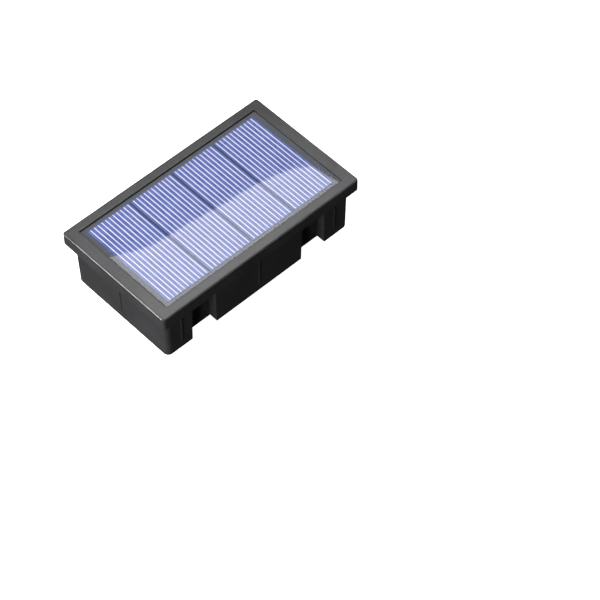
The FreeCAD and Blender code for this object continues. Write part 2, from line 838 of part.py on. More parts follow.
def panel_adhesive(doc, plan):
    """The bead that glues the panel to the housing's ledge."""
    body = panel_slab(doc, plan, "panel_adhesive", plan.ledge_z, plan.glue_thickness)
    opening = sketch_on(body, "ledge_opening", "XY_Plane", plan.ledge_z)
    cut_up(body, notched_outline(opening, plan, plan.ledge_inset), plan.glue_thickness)
    return body


def terminal_places(plan):
    """Centres of the black and the red wire's solder pads on the panel's back."""
    half = plan.terminal_spacing / 2
    return (plan.terminal_x - half, plan.terminal_y), (plan.terminal_x + half, plan.terminal_y)


def panel_terminals(doc, plan):
    body = new_body(doc, "panel_terminals")
    sketch = sketch_on(body, "terminals", "XY_Plane", plan.panel_back_z)
    for x, y in terminal_places(plan):
        centred(sketch, plan.terminal_size, plan.terminal_size, x, y)
    pad_down(body, sketch, plan.terminal_thickness)
    return body


# ---------------------------------------------------------------- circuit board and its parts


def switch_pin_places(plan):
    """The three switch pins, in a row along the inside of the case."""
    wall_y = plan.switch_y + plan.switch_size / 2 - plan.switch_wall
    y = wall_y - plan.pin_wall_gap - plan.pin_thickness / 2
    return [(plan.switch_x + step * plan.pin_pitch, y) for step in (-1, 0, 1)]


def chip_leg_places(plan):
    return [(plan.chip_x + step * plan.chip_leg_pitch, plan.chip_y) for step in (-1.5, -0.5, 0.5, 1.5)]


def inductor_lead_places(plan):
    half = plan.inductor_lead_pitch / 2
    return [(plan.inductor_x - half, plan.inductor_y), (plan.inductor_x + half, plan.inductor_y)]


def wire_places(plan):
    along = (plan.battery_black_x, plan.panel_black_x, plan.panel_red_x, plan.battery_red_x)
    return [(x, plan.wire_row_y) for x in along]


def circuit_board(doc, plan):
    body = new_body(doc, "circuit_board")
    sketch = sketch_on(body, "board_outline", "XY_Plane", plan.board_z)
    rectangle(sketch, plan.board_low_x, plan.board_high_x, plan.board_low_y, plan.board_high_y)
    for x, y in board_screw_places(plan):
        circle(sketch, x, y, plan.board_screw_hole)
    for x, y in switch_pin_places(plan) + wire_places(plan):
        circle(sketch, x, y, plan.wire_hole_diameter)
    for x, y in chip_leg_places(plan) + inductor_lead_places(plan):
        circle(sketch, x, y, plan.leg_hole_diameter)
    pad_up(body, sketch, plan.board_thickness)
    return body


def solder_joints(doc, plan):
    """Beads of solder: over the board round the switch pins, under it round all the others."""
    body = new_body(doc, "solder_joints")
    under = sketch_on(body, "joints_under_board", "XY_Plane", plan.board_z)
    for x, y in chip_leg_places(plan):
        circle(under, x, y, plan.leg_solder_diameter)
    for x, y in inductor_lead_places(plan) + wire_places(plan):
        circle(under, x, y, plan.solder_diameter)
    pad_down(body, under, plan.solder_height)
    over = sketch_on(body, "joints_over_board", "XY_Plane", plan.board_top_z)
    for x, y in switch_pin_places(plan):
        circle(over, x, y, plan.solder_diameter)
    pad_up(body, over, plan.solder_height)
    low_z = plan.board_z - plan.solder_height
    high_z = plan.board_top_z + plan.solder_height
    cores = sketch_on(body, "legs_and_wires", "XY_Plane", low_z)
    for x, y in chip_leg_places(plan):
        centred(cores, plan.chip_leg_size, plan.chip_leg_size, x, y)
    for x, y in inductor_lead_places(plan):
        circle(cores, x, y, plan.inductor_lead_diameter)
    for x, y in wire_places(plan):
        circle(cores, x, y, plan.wire_core_diameter)
    for x, y in switch_pin_places(plan):
        centred(cores, plan.pin_width, plan.pin_thickness, x, y)
    cut_up(body, cores, high_z - low_z)
    return body


def diode_window(body, plan, name):
    """The square taper that the phosphor fills, from the package's face inwards."""
    mouth = sketch_on(body, f"{name}_mouth", "XY_Plane", plan.pocket_floor_z)
    floor = sketch_on(body, f"{name}_floor", "XY_Plane", plan.pocket_floor_z + plan.diode_window_depth)
    centred(mouth, plan.diode_window, plan.diode_window)
    centred(floor, plan.diode_window_floor, plan.diode_window_floor)
    return mouth, floor


def diode_frame(doc, plan):
    """The white package, with a tapered well in its face for the phosphor."""
    body = new_body(doc, "diode_frame")
    face = sketch_on(body, "package", "XY_Plane", plan.pocket_floor_z)
    pad_up(body, centred(face, plan.diode_size, plan.diode_size),
           plan.diode_height - plan.diode_pad_thickness)
    loft(body, "SubtractiveLoft", *diode_window(body, plan, "well"))
    return body


def diode_phosphor(doc, plan):
    body = new_body(doc, "diode_phosphor")
    loft(body, "AdditiveLoft", *diode_window(body, plan, "phosphor"))
    return body


def diode_pads(doc, plan):
    """Six solder pads, three along each end of the package."""
    body = new_body(doc, "diode_pads")
    sketch = sketch_on(body, "pads", "XY_Plane", plan.board_z)
    x = plan.diode_size / 2 + plan.diode_pad_reach - plan.diode_pad_length / 2
    for side in (-1, 1):
        for row in (-1, 0, 1):
            y = row * plan.diode_pad_pitch
            centred(sketch, plan.diode_pad_length, plan.diode_pad_width, side * x, y)
    pad_down(body, sketch, plan.diode_pad_thickness)
    return body


def driver_chip(doc, plan):
    """Flat transistor-style package that stands on its four legs."""
    body = new_body(doc, "driver_chip")
    package = sketch_on(body, "package", "XY_Plane", plan.board_top_z + plan.chip_stand)
    centred(package, plan.chip_width, plan.chip_depth, plan.chip_x, plan.chip_y)
    pad_up(body, package, plan.chip_height)
    face_y = float(plan.chip_y - plan.chip_depth / 2)
    bevel_edges(body, plan.chip_chamfer,
                lambda edge: upright(edge) and abs(edge.BoundBox.Center.y - face_y) < TOLERANCE)
    return body


def driver_chip_legs(doc, plan):
    body = new_body(doc, "driver_chip_legs")
    low_z = plan.board_z - plan.leg_tail
    sketch = sketch_on(body, "legs", "XY_Plane", low_z)
    for x, y in chip_leg_places(plan):
        centred(sketch, plan.chip_leg_size, plan.chip_leg_size, x, y)
    pad_up(body, sketch, plan.board_top_z + plan.chip_stand - low_z)
    return body


def inductor_axis_z(plan):
    return plan.board_top_z + plan.inductor_stand + plan.inductor_end_diameter / 2


def inductor(doc, plan):
    """Dumb-bell shaped moulded inductor, turned about its own axis along X."""
    body = new_body(doc, "inductor")
    half = plan.inductor_length / 2
    cap = half - plan.inductor_cap_length
    end_r = plan.inductor_end_diameter / 2
    waist_r = plan.inductor_waist_diameter / 2
    slope = end_r - waist_r
    profile = polygon(sketch_on(body, "half_section", "XZ_Plane"), [
        (-half, 0), (-half, waist_r), (-half + slope, end_r), (-cap - slope, end_r), (-cap, waist_r),
        (cap, waist_r), (cap + slope, end_r), (half - slope, end_r), (half, waist_r), (half, 0)])
    revolve(body, profile, "H_Axis")
    place(body, plan.inductor_x, plan.inductor_y, inductor_axis_z(plan))
    return body


def inductor_leads(doc, plan):
    """Two tinned wires, bent down from the inductor's ends into the board."""
    y = float(plan.inductor_y)
    axis_z = float(inductor_axis_z(plan))
    tail_z = float(plan.board_z - plan.leg_tail)
    leads = []
    for side, (x, _) in zip((-1, 1), inductor_lead_places(plan)):
        start_x = float(plan.inductor_x + side * plan.inductor_length / 2)
        route = [(start_x, y, axis_z), (float(x), y, axis_z), (float(x), y, tail_z)]
        leads.append(bent_rod(route, plan.inductor_lead_diameter, plan.inductor_lead_bend))
    return shaped(doc, "inductor_leads", Part.makeCompound(leads))


# ---------------------------------------------------------------- push switch


def at_switch(sketch, plan, size):
    """A square round the switch's axis."""
    return centred(sketch, size, size, plan.switch_x, plan.switch_y)


def switch_housing(doc, plan):
    """Square white case with a window for the plunger, open towards its base."""
    body = new_body(doc, "switch_housing")
    height = plan.switch_base_z - plan.switch_top_z
    outside = sketch_on(body, "case_outline", "XY_Plane", plan.switch_top_z)
    pad_up(body, at_switch(outside, plan, plan.switch_size), height)
    room = sketch_on(body, "inside", "XY_Plane", plan.switch_top_z + plan.switch_top_wall)
    at_switch(room, plan, plan.switch_size - plan.switch_wall * 2)
    cut_up(body, room, height - plan.switch_top_wall)
    window = sketch_on(body, "plunger_window", "XY_Plane", plan.switch_top_z)
    at_switch(window, plan, plan.plunger_size + plan.plunger_clearance * 2)
    cut_up(body, window, plan.switch_top_wall)
    return body


def switch_base(doc, plan):
    body = new_body(doc, "switch_base")
    sketch = sketch_on(body, "base_outline", "XY_Plane", plan.switch_base_z)
    at_switch(sketch, plan, plan.switch_size)
    for x, y in switch_pin_places(plan):
        centred(sketch, plan.pin_width, plan.pin_thickness, x, y)
    pad_up(body, sketch, plan.switch_base_thickness)
    return body


def switch_pins(doc, plan):
    body = new_body(doc, "switch_pins")
    low_z = plan.switch_base_z - plan.pin_blade
    sketch = sketch_on(body, "pins", "XY_Plane", low_z)
    for x, y in switch_pin_places(plan):
        centred(sketch, plan.pin_width, plan.pin_thickness, x, y)
    pad_up(body, sketch, plan.board_top_z + plan.pin_tail - low_z)
    return body


def switch_plunger(doc, plan):
    """The button that a finger presses, with the collar that stops it and a spring spigot."""
    body = new_body(doc, "switch_plunger")
    tip_z = plan.switch_top_z - plan.plunger_reach
    button = sketch_on(body, "button", "XY_Plane", tip_z)
    pad_up(body, at_switch(button, plan, plan.plunger_size), plan.collar_z - tip_z)
    round_edges(body, plan.plunger_edge_radius, lambda edge: level(edge, tip_z) or upright(edge))
    collar = sketch_on(body, "collar", "XY_Plane", plan.collar_z)
    pad_up(body, at_switch(collar, plan, plan.plunger_collar_size), plan.plunger_collar_thickness)
    spigot = sketch_on(body, "spigot", "XY_Plane", plan.spring_seat_z)
    circle(spigot, plan.switch_x, plan.switch_y, plan.plunger_spigot_diameter)
    pad_up(body, spigot, plan.plunger_spigot_length)
    return body


def switch_contact(doc, plan):
    """Strip on the plunger's collar, whose two legs wipe past the pins."""
    body = new_body(doc, "switch_contact")
    (first_x, pin_y), _, (last_x, _) = switch_pin_places(plan)
    face_y = pin_y - plan.pin_thickness / 2 - plan.pin_gap
    half = plan.contact_length / 2
    strip = sketch_on(body, "strip", "XY_Plane", plan.spring_seat_z)
    rectangle(strip, plan.switch_x - half, plan.switch_x + half, face_y - plan.contact_strip_width, face_y)
    pad_up(body, strip, plan.contact_thickness)
    legs = sketch_on(body, "legs", "XY_Plane", plan.spring_seat_z)
    half_leg = plan.pin_width / 2
    for x in (first_x, last_x):
        rectangle(legs, x - half_leg, x + half_leg, face_y - plan.contact_thickness, face_y)
    pad_up(body, legs, plan.contact_leg_length)
    return body


def switch_spring(doc, plan):
    """Return spring between collar and base, its hair-fine wire drawn six-sided to keep it light."""
    body = new_body(doc, "switch_spring")
    margin = plan.switch_spring_gap + plan.switch_spring_wire / 2
    section = sketch_on(body, "wire_section", "XZ_Plane")
    mean_r = (plan.switch_spring_diameter - plan.switch_spring_wire) / 2
    wire_r = plan.switch_spring_wire / 2
    polygon(section, [(mean_r + wire_r * math.cos(turn), wire_r * math.sin(turn))
                      for turn in (step * math.pi / 3 for step in range(6))])
    coil = body.newObject("PartDesign::AdditiveHelix", "coil")
    coil.Profile = section
    coil.ReferenceAxis = (section, ["V_Axis"])
    coil.Mode = "height-turns-angle"
    bind(coil, "Height", plan.switch_base_z - plan.spring_seat_z - margin * 2)
    bind(coil, "Turns", plan.switch_spring_turns)
    coil.Angle = 0
    place(body, plan.switch_x, plan.switch_y, plan.spring_seat_z + margin)
    return body


# ---------------------------------------------------------------- battery


def turned_along_x(doc, plan, label, corners):
    """A part turned about the battery's axis, from half of its section."""
    body = new_body(doc, label)
    revolve(body, polygon(sketch_on(body, "half_section", "XZ_Plane"), corners), "H_Axis")
    place(body, plan.battery_x, plan.battery_y, plan.battery_z)
    return body


def battery_can(doc, plan):
    """Steel can with the rolled groove near its open end."""
    half = plan.can_length / 2
    radius = plan.can_diameter / 2
    groove_r = radius - plan.can_groove_depth
    high = half - plan.can_groove_offset
    low = high - plan.can_groove_width
    slope = plan.can_groove_depth / 2
    return turned_along_x(doc, plan, "battery_can", [
        (-half, 0), (-half, radius), (low - slope, radius), (low + slope, groove_r),
        (high - slope, groove_r), (high + slope, radius), (half, radius), (half, 0)])


def battery_sleeve(doc, plan):
    """Shrink sleeve that wraps the can and turns in over both ends."""
    half = plan.can_length / 2
    inner = plan.can_diameter / 2
    outer = plan.battery_diameter / 2
    end = half + plan.sleeve_thickness
    rim = plan.sleeve_rim_diameter / 2
    return turned_along_x(doc, plan, "battery_sleeve", [
        (-end, rim), (-end, outer), (end, outer), (end, rim),
        (half, rim), (half, inner), (-half, inner), (-half, rim)])


def battery_washer(doc, plan):
    """Insulating washer between the sleeve's rim and the positive button."""
    low = plan.can_length / 2
    high = low + plan.washer_thickness
    hole_r = plan.button_diameter / 2
    rim = plan.sleeve_rim_diameter / 2
    corners = [(low, hole_r), (low, rim), (high, rim), (high, hole_r)]
    return turned_along_x(doc, plan, "battery_washer", corners)


def battery_button(doc, plan):
    low = plan.can_length / 2
    high = low + plan.button_height
    radius = plan.button_diameter / 2
    crown = plan.button_height / 3
    corners = [(low, 0), (low, radius), (high - crown, radius), (high, radius - crown), (high, 0)]
    return turned_along_x(doc, plan, "battery_button", corners)


def battery_tabs(doc, plan):
    """A folded nickel strip welded to each end of the cell, with a foot for its wire."""
    body = new_body(doc, "battery_tabs")
    high_y = plan.battery_y + plan.tab_width / 2
    foot_y = plan.battery_y - plan.tab_reach
    sketch = sketch_on(body, "folded_strips", "XY_Plane", plan.battery_z)
    for end_x, side in ((plan.can_low_x, -1), (plan.button_x, 1)):
        face_x = end_x + side * plan.tab_thickness
        toe_x = end_x + side * plan.tab_foot
        polygon(sketch, [(end_x, high_y), (face_x, high_y), (face_x, foot_y + plan.tab_thickness),
                         (toe_x, foot_y + plan.tab_thickness), (toe_x, foot_y), (end_x, foot_y)])
    pad_both(body, sketch, plan.tab_width)
    return body


# ---------------------------------------------------------------- wires


def shaped(doc, label, shape):
    """A part whose centre line leaves every plane, so that no sketch can hold it."""
    item = doc.addObject("Part::Feature", label)
    item.Label = label
    item.Shape = shape
    item.Placement = FreeCAD.Placement()
    return item


def bent_rod(route, diameter, bend_radius):
    """A round rod along straight runs joined by tangent arcs."""
    radius = float(bend_radius)
    points = [FreeCAD.Vector(*point) for point in route]
    edges = []
    start = points[0]
    for before, corner, after in zip(points, points[1:], points[2:]):
        back = (before - corner).normalize()
        ahead = (after - corner).normalize()
        half_turn = (math.pi - back.getAngle(ahead)) / 2
        trim = radius * math.tan(half_turn)
        arc_start = corner + back * trim
        arc_end = corner + ahead * trim
        inwards = (back + ahead).normalize()
        arc_middle = corner + inwards * (radius / math.cos(half_turn) - radius)
        edges.append(Part.LineSegment(start, arc_start).toShape())
        edges.append(Part.Arc(arc_start, arc_middle, arc_end).toShape())
        start = arc_end
    edges.append(Part.LineSegment(start, points[-1]).toShape())
    section = Part.Wire(Part.makeCircle(float(diameter) / 2, points[0], points[1] - points[0]))
    return Part.Wire(edges).makePipeShell([section], True, False)


def wire(doc, plan, label, x, beyond_foot):
    """An insulated wire that stands on the board, with its bare core down through the hole."""
    foot = (float(x), float(plan.wire_row_y), float(plan.board_top_z))
    jacket = bent_rod([foot] + beyond_foot, plan.wire_diameter, plan.wire_bend_radius)
    drop = float(plan.board_thickness + plan.wire_core_tail)
    core_end = FreeCAD.Vector(foot[0], foot[1], foot[2] - drop)
    core = Part.makeCylinder(float(plan.wire_core_diameter) / 2, drop, core_end)
    return shaped(doc, label, jacket.fuse(core))


def panel_wire(doc, plan, label, x, terminal):
    """Rises from the board, crosses over and meets its solder pad on the panel's back."""
    pad_x, pad_y = (float(value) for value in terminal)
    low_z = float(plan.board_top_z)
    end_z = float(plan.panel_back_z - plan.terminal_thickness)
    bend = 2 * float(plan.wire_bend_radius)
    return wire(doc, plan, label, x, [
        (float(x), float(plan.wire_row_y), low_z + bend),
        (pad_x, pad_y, end_z - bend),
        (pad_x, pad_y, end_z)])


def panel_wire_black(doc, plan):
    return panel_wire(doc, plan, "panel_wire_black", plan.panel_black_x, terminal_places(plan)[0])


def panel_wire_red(doc, plan):
    return panel_wire(doc, plan, "panel_wire_red", plan.panel_red_x, terminal_places(plan)[1])


def battery_wire(doc, plan, label, x, end_x, side):
    """Turns over below the webs, runs along the board and meets the foot of a battery tab."""
    run_z = float(plan.battery_z - plan.wire_diameter)
    foot_x = float(end_x + side * (plan.tab_thickness + plan.tab_foot) / 2)
    foot_y = float(plan.battery_y - plan.tab_reach)
    row_y = float(plan.wire_row_y)
    return wire(doc, plan, label, x, [
        (float(x), row_y, run_z), (foot_x, row_y, run_z), (foot_x, foot_y, run_z)])


def battery_wire_black(doc, plan):
    return battery_wire(doc, plan, "battery_wire_black", plan.battery_black_x, plan.can_low_x, -1)


def battery_wire_red(doc, plan):
    return battery_wire(doc, plan, "battery_wire_red", plan.battery_red_x, plan.button_x, 1)


# ---------------------------------------------------------------- assembly


SUB_PARTS = (
    housing, bottom_cover, cover_screws, panel_backing_board, solar_cells, panel_encapsulant,
    panel_adhesive, panel_terminals, circuit_board, solder_joints, board_screws, diode_frame,
    diode_phosphor, diode_pads, driver_chip, driver_chip_legs, inductor, inductor_leads,
    switch_housing, switch_base, switch_pins, switch_plunger, switch_contact, switch_spring,
    battery_can, battery_sleeve, battery_washer, battery_button, battery_tabs,
    panel_wire_black, panel_wire_red, battery_wire_black, battery_wire_red,
)


def check(doc, parts):
    """Stops on a failed object or a bad solid before anything is written."""
    for item in doc.Objects:
        if "Invalid" in item.State or "Error" in item.State:
            raise RuntimeError(f"{item.Label} failed: {item.State}")
    for part in parts:
        shape = part.Shape
        if shape.isNull() or not shape.isValid() or not shape.Solids:
            raise RuntimeError(f"{part.Label} is not a valid solid")
        print(f"{part.Label}: {len(shape.Solids)} solid(s), {shape.Volume:.2f} mm3")


def main():
    doc = FreeCAD.newDocument("fence_light_module")
    plan = make_sheet(doc)
    parts = [build(doc, plan) for build in SUB_PARTS]
    doc.recompute()
    check(doc, parts)
    os.makedirs("parts", exist_ok=True)
    for part in parts:
        part.Shape.exportStep(f"parts/{part.Label}.step")


main()
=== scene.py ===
"""Solar fence light module: its finishes, fine pieces and a white studio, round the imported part.

The file is laid out as a Blender add-on and is run as a script.
"""
import math

import bpy
from bpy.props import FloatProperty, FloatVectorProperty, IntProperty, PointerProperty
from bpy.types import Operator, Panel, PropertyGroup
from mathutils import Euler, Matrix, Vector


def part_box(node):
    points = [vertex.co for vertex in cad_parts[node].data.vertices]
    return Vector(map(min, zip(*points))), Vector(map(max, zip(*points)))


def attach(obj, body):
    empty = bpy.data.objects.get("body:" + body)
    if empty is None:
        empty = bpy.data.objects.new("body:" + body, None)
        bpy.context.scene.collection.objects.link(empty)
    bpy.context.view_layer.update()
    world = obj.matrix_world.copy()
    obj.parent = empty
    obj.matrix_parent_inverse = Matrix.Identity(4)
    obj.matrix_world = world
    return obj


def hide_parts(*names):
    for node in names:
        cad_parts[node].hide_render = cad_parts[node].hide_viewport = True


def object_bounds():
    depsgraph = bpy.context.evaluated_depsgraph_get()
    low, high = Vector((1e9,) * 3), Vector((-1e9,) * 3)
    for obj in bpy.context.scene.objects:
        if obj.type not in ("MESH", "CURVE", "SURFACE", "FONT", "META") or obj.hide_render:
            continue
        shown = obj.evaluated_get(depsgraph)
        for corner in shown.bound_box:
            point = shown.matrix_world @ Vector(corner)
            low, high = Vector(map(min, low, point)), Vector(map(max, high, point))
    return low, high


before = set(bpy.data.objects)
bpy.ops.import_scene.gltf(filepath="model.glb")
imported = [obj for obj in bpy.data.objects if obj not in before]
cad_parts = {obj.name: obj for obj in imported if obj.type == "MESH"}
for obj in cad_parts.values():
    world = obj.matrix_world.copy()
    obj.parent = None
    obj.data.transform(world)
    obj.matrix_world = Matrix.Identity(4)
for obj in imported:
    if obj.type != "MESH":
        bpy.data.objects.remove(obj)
SOLIDS_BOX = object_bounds()

bl_info = {
    "name": "Fence light module",
    "version": (1, 0, 0),
    "blender": (4, 5, 0),
    "location": "View3D > Sidebar > Fence Light",
    "description": "Finishes and fine pieces of a solar fence light module, in a white studio",
    "category": "Object",
}

MM = 0.001
BODY = "module"


# ---------------------------------------------------------------- node trees


def socket_of(sockets, key):
    """A node's socket by its number, its identifier or its name."""
    if isinstance(key, int):
        return sockets[key]
    for socket in sockets:
        if socket.identifier == key:
            return socket
    return sockets[key]


class Signal:
    """An output socket. Plain arithmetic on it adds Math nodes."""

    def __init__(self, nodes, socket):
        self.nodes = nodes
        self.socket = socket

    def __add__(self, other):
        return self.nodes.maths("ADD", self, other)

    def __radd__(self, other):
        return self.nodes.maths("ADD", other, self)

    def __sub__(self, other):
        return self.nodes.maths("SUBTRACT", self, other)

    def __mul__(self, other):
        return self.nodes.maths("MULTIPLY", self, other)

    def __rmul__(self, other):
        return self.nodes.maths("MULTIPLY", other, self)

    def __truediv__(self, other):
        return self.nodes.maths("DIVIDE", self, other)

    def __lt__(self, other):
        return self.nodes.maths("LESS_THAN", self, other)

    def __abs__(self):
        return self.nodes.maths("ABSOLUTE", self)


class NodeTree:
    """A node tree with one method that adds any node."""

    def __init__(self, tree):
        self.tree = tree

    def node(self, kind, settings=None, inputs=None, output=0):
        """Adds a node: its settings first, then the values or links of its sockets."""
        made = self.tree.nodes.new(kind)
        for name, value in (settings or {}).items():
            if name == "stops":
                self.set_stops(made.color_ramp, value)
            else:
                setattr(made, name, value)
        for name, value in (inputs or {}).items():
            socket = socket_of(made.inputs, name)
            if isinstance(value, Signal):
                self.tree.links.new(value.socket, socket)
            else:
                socket.default_value = value
        if not made.outputs:
            return None
        return Signal(self, socket_of(made.outputs, output))

    def set_stops(self, ramp, stops):
        """Puts a colour ramp's stops in place: (position, colour) from left to right."""
        while len(ramp.elements) < len(stops):
            ramp.elements.new(0.5)
        for element, (position, colour) in zip(ramp.elements, stops):
            element.position = position
            element.color = colour

    def maths(self, operation, *values):
        """One Math node on numbers or signals."""
        return self.node("ShaderNodeMath", {"operation": operation}, dict(enumerate(values)))


class Finish(NodeTree):
    """One material, made of procedural textures in the object's own coordinates."""

    def __init__(self, name):
        self.material = bpy.data.materials.new(name)
        self.material.use_nodes = True
        super().__init__(self.material.node_tree)
        self.tree.nodes.clear()
        self.place = self.node("ShaderNodeTexCoord", output="Object")

    def noise(self, scale, detail=2.0, roughness=0.5, place=None):
        """Soft noise from 0 to 1; scale is in features per metre."""
        inputs = {"Vector": place or self.place, "Scale": scale, "Detail": detail,
                  "Roughness": roughness}
        return self.node("ShaderNodeTexNoise", {"noise_dimensions": "3D"}, inputs, "Fac")

    def crystals(self, scale, output="Distance", feature="F1", place=None):
        """A cell pattern: the distance to, or the colour of, the nearest cell."""
        inputs = {"Vector": place or self.place, "Scale": scale}
        return self.node("ShaderNodeTexVoronoi", {"feature": feature}, inputs, output)

    def stretched(self, x=1.0, y=1.0):
        """The object's coordinates, stretched along X or Y, for brushed patterns."""
        inputs = {"Vector": self.place, "Scale": (x, y, 1.0)}
        return self.node("ShaderNodeMapping", {}, inputs)

    def axes(self):
        """The three object coordinates as separate signals."""
        split = self.node("ShaderNodeSeparateXYZ", {}, {0: self.place})
        outputs = split.socket.node.outputs
        return [Signal(self, socket) for socket in outputs]

    def blend(self, share, first, second):
        """One colour turning into another as share goes from 0 to 1."""
        inputs = {"Factor_Float": share, "A_Color": first, "B_Color": second}
        settings = {"data_type": "RGBA", "clamp_factor": True}
        return self.node("ShaderNodeMix", settings, inputs, "Result_Color")

    def curve(self, value, low, high, to_low=0.0, to_high=1.0):
        """Carries value from low..high to another range, held at both ends."""
        inputs = {0: value, 1: low, 2: high, 3: to_low, 4: to_high}
        return self.node("ShaderNodeMapRange", {"interpolation_type": "SMOOTHSTEP"}, inputs)

    def relief(self, height, depth, strength=1.0):
        """A bump whose full height is depth metres."""
        inputs = {"Height": height, "Distance": depth, "Strength": strength}
        return self.node("ShaderNodeBump", {}, inputs)

    def surface(self, **inputs):
        """Ends the material in one Principled shader and returns the material."""
        inputs = {name.replace("_", " "): value for name, value in inputs.items()}
        shader = self.node("ShaderNodeBsdfPrincipled", {}, inputs)
        return self.end(shader)

    def end(self, shader):
        """Links the shader to the output and returns the material."""
        self.node("ShaderNodeOutputMaterial", {}, {"Surface": shader})
        return self.material


class Recipe(NodeTree):
    """A Geometry Nodes tree with named inputs for its sizes."""

    def __init__(self, name):
        super().__init__(bpy.data.node_groups.new(name, "GeometryNodeTree"))
        self.sizes = {}
        self.tree.interface.new_socket("Geometry", in_out="OUTPUT",
                                       socket_type="NodeSocketGeometry")
        self.entry = self.tree.nodes.new("NodeGroupInput")

    def size(self, name, value, kind="NodeSocketFloat"):
        """A named input of the tree and the value that this piece gives it."""
        socket = self.tree.interface.new_socket(name, in_out="INPUT", socket_type=kind)
        self.sizes[socket.identifier] = value
        return Signal(self, socket_of(self.entry.outputs, socket.identifier))

    def vector(self, x=0.0, y=0.0, z=0.0):
        """Three numbers or signals joined to a vector."""
        return self.node("ShaderNodeCombineXYZ", {}, {0: x, 1: y, 2: z})

    def finished(self, geometry, material):
        """Realizes the geometry, gives it its material and ends the tree."""
        real = self.node("GeometryNodeRealizeInstances", {}, {0: geometry})
        dressed = self.node("GeometryNodeSetMaterial", {}, {"Geometry": real})
        dressed.socket.node.inputs["Material"].default_value = material
        self.node("NodeGroupOutput", {}, {0: dressed})

    def grow(self, name):
        """Runs the tree once and returns its result as a plain mesh object."""
        piece = new_object(name, bpy.data.meshes.new(name))
        modifier = piece.modifiers.new("recipe", "NODES")
        modifier.node_group = self.tree
        for identifier, value in self.sizes.items():
            modifier[identifier] = value
        found = bpy.context.evaluated_depsgraph_get()
        mesh = bpy.data.meshes.new_from_object(piece.evaluated_get(found))
        piece.modifiers.clear()
        piece.data = mesh
        mesh.name = name
        if not mesh.polygons:
            raise RuntimeError(f"{name}: its recipe made nothing")
        return piece


# ---------------------------------------------------------------- mesh helpers


def new_object(name, mesh):
    """Puts a mesh in the scene at the origin."""
    made = bpy.data.objects.new(name, mesh)
    bpy.context.scene.collection.objects.link(made)
    return made


def mesh_object(name, points, faces, material):
    """A flat-shaded mesh object from points in metres and faces that turn anticlockwise."""
    mesh = bpy.data.meshes.new(name)
    mesh.from_pydata(points, [], faces)
    mesh.materials.append(material)
    mesh.update()
    return new_object(name, mesh)


def rounded_outline(half_x, half_y, radius, steps):
    """Points round a rectangle with rounded corners, anticlockwise."""
    points = []
    for corner, (sign_x, sign_y) in enumerate([(1, 1), (-1, 1), (-1, -1), (1, -1)]):
        for step in range(steps + 1):
            angle = math.radians(90.0 * (corner + step / steps))
            x = sign_x * (half_x - radius) + radius * math.cos(angle)
            y = sign_y * (half_y - radius) + radius * math.sin(angle)
            points.append((x, y))
    return points


def stacked_rings(rings):
    """Points and faces of a closed body through rings of equal count, from the lowest up."""
    count = len(rings[0])
    points = [point for ring in rings for point in ring]
    faces = [tuple(reversed(range(count)))]
    for level in range(len(rings) - 1):
        low = level * count
        for here in range(count):
            after = (here + 1) % count
            faces.append((low + here, low + after, low + count + after, low + count + here))
    top = (len(rings) - 1) * count
    faces.append(tuple(range(top, top + count)))
    return points, faces


def midpoint(values):
    """Halfway between the smallest and the largest value."""
    return (min(values) + max(values)) / 2


def dress(nodes, material):
    """Gives CAD nodes their finish."""
    for name in nodes:
        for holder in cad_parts[name].material_slots:
            holder.material = material


def part_of(piece, body=BODY):
    """Fixes a finished piece to its body."""
    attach(piece, body)
    return piece


# ---------------------------------------------------------------- finishes


def black_moulding(look):
    """Satin black ABS with the fine grain of a spark-eroded mould."""
    made = Finish("black moulding")
    grain = made.noise(look.grain, 3.0, 0.6)
    pits = made.noise(look.grain * 3.7, 1.0)
    flow = made.noise(38.0, 3.0)
    deep = (*look.colour, 1.0)
    worn = (*[min(1.0, part * 1.5 + 0.004) for part in look.colour], 1.0)
    tone = made.blend(made.curve(flow * 0.6 + grain * 0.4, 0.35, 0.7), deep, worn)
    height = grain * 0.7 + pits * 0.3
    return made.surface(
        Base_Color=tone,
        Roughness=look.roughness + 0.06 * (flow - 0.5) + 0.08 * (grain - 0.5),
        Specular_IOR_Level=look.shine,
        Normal=made.relief(height, look.grain_depth * MM),
    )


def blue_cells(look):
    """Polycrystalline silicon: a blue film over fine crystals of uneven tone."""
    made = Finish("blue silicon")
    crystal = made.crystals(900.0, "Color")
    tone_of = made.node("ShaderNodeSeparateColor", {}, {0: crystal})
    speckle = made.noise(5200.0, 2.0, 0.7)
    cloud = made.noise(70.0, 2.0)
    share = made.curve(tone_of * 0.35 + speckle * 0.9 + cloud * 0.25, 0.45, 1.05)
    base = look.cell_colour
    dark = (base[0] * 0.72, base[1] * 0.72, base[2] * 0.82, 1.0)
    light = (base[0] * 1.35, base[1] * 1.32, base[2] * 1.15, 1.0)
    return made.surface(
        Base_Color=made.blend(share, dark, light),
        Roughness=0.42 + 0.2 * (speckle - 0.5),
        Specular_IOR_Level=0.4,
        Normal=made.relief(tone_of * 0.5 + speckle * 0.5, 0.01 * MM),
    )


def silver_paste():
    """Screen-printed silver, slightly porous."""
    made = Finish("silver paste")
    pores = made.noise(9000.0, 2.0, 0.7)
    streak = made.noise(600.0, 2.0, 0.5, made.stretched(y=0.08))
    tone = made.blend(made.curve(pores * 0.5 + streak * 0.5, 0.35, 0.7),
                      (0.78, 0.80, 0.92, 1.0), (0.95, 0.96, 1.0, 1.0))
    return made.surface(Base_Color=tone, Roughness=0.5 + 0.2 * (pores - 0.5),
                        Specular_IOR_Level=0.4, Normal=made.relief(pores, 0.006 * MM))


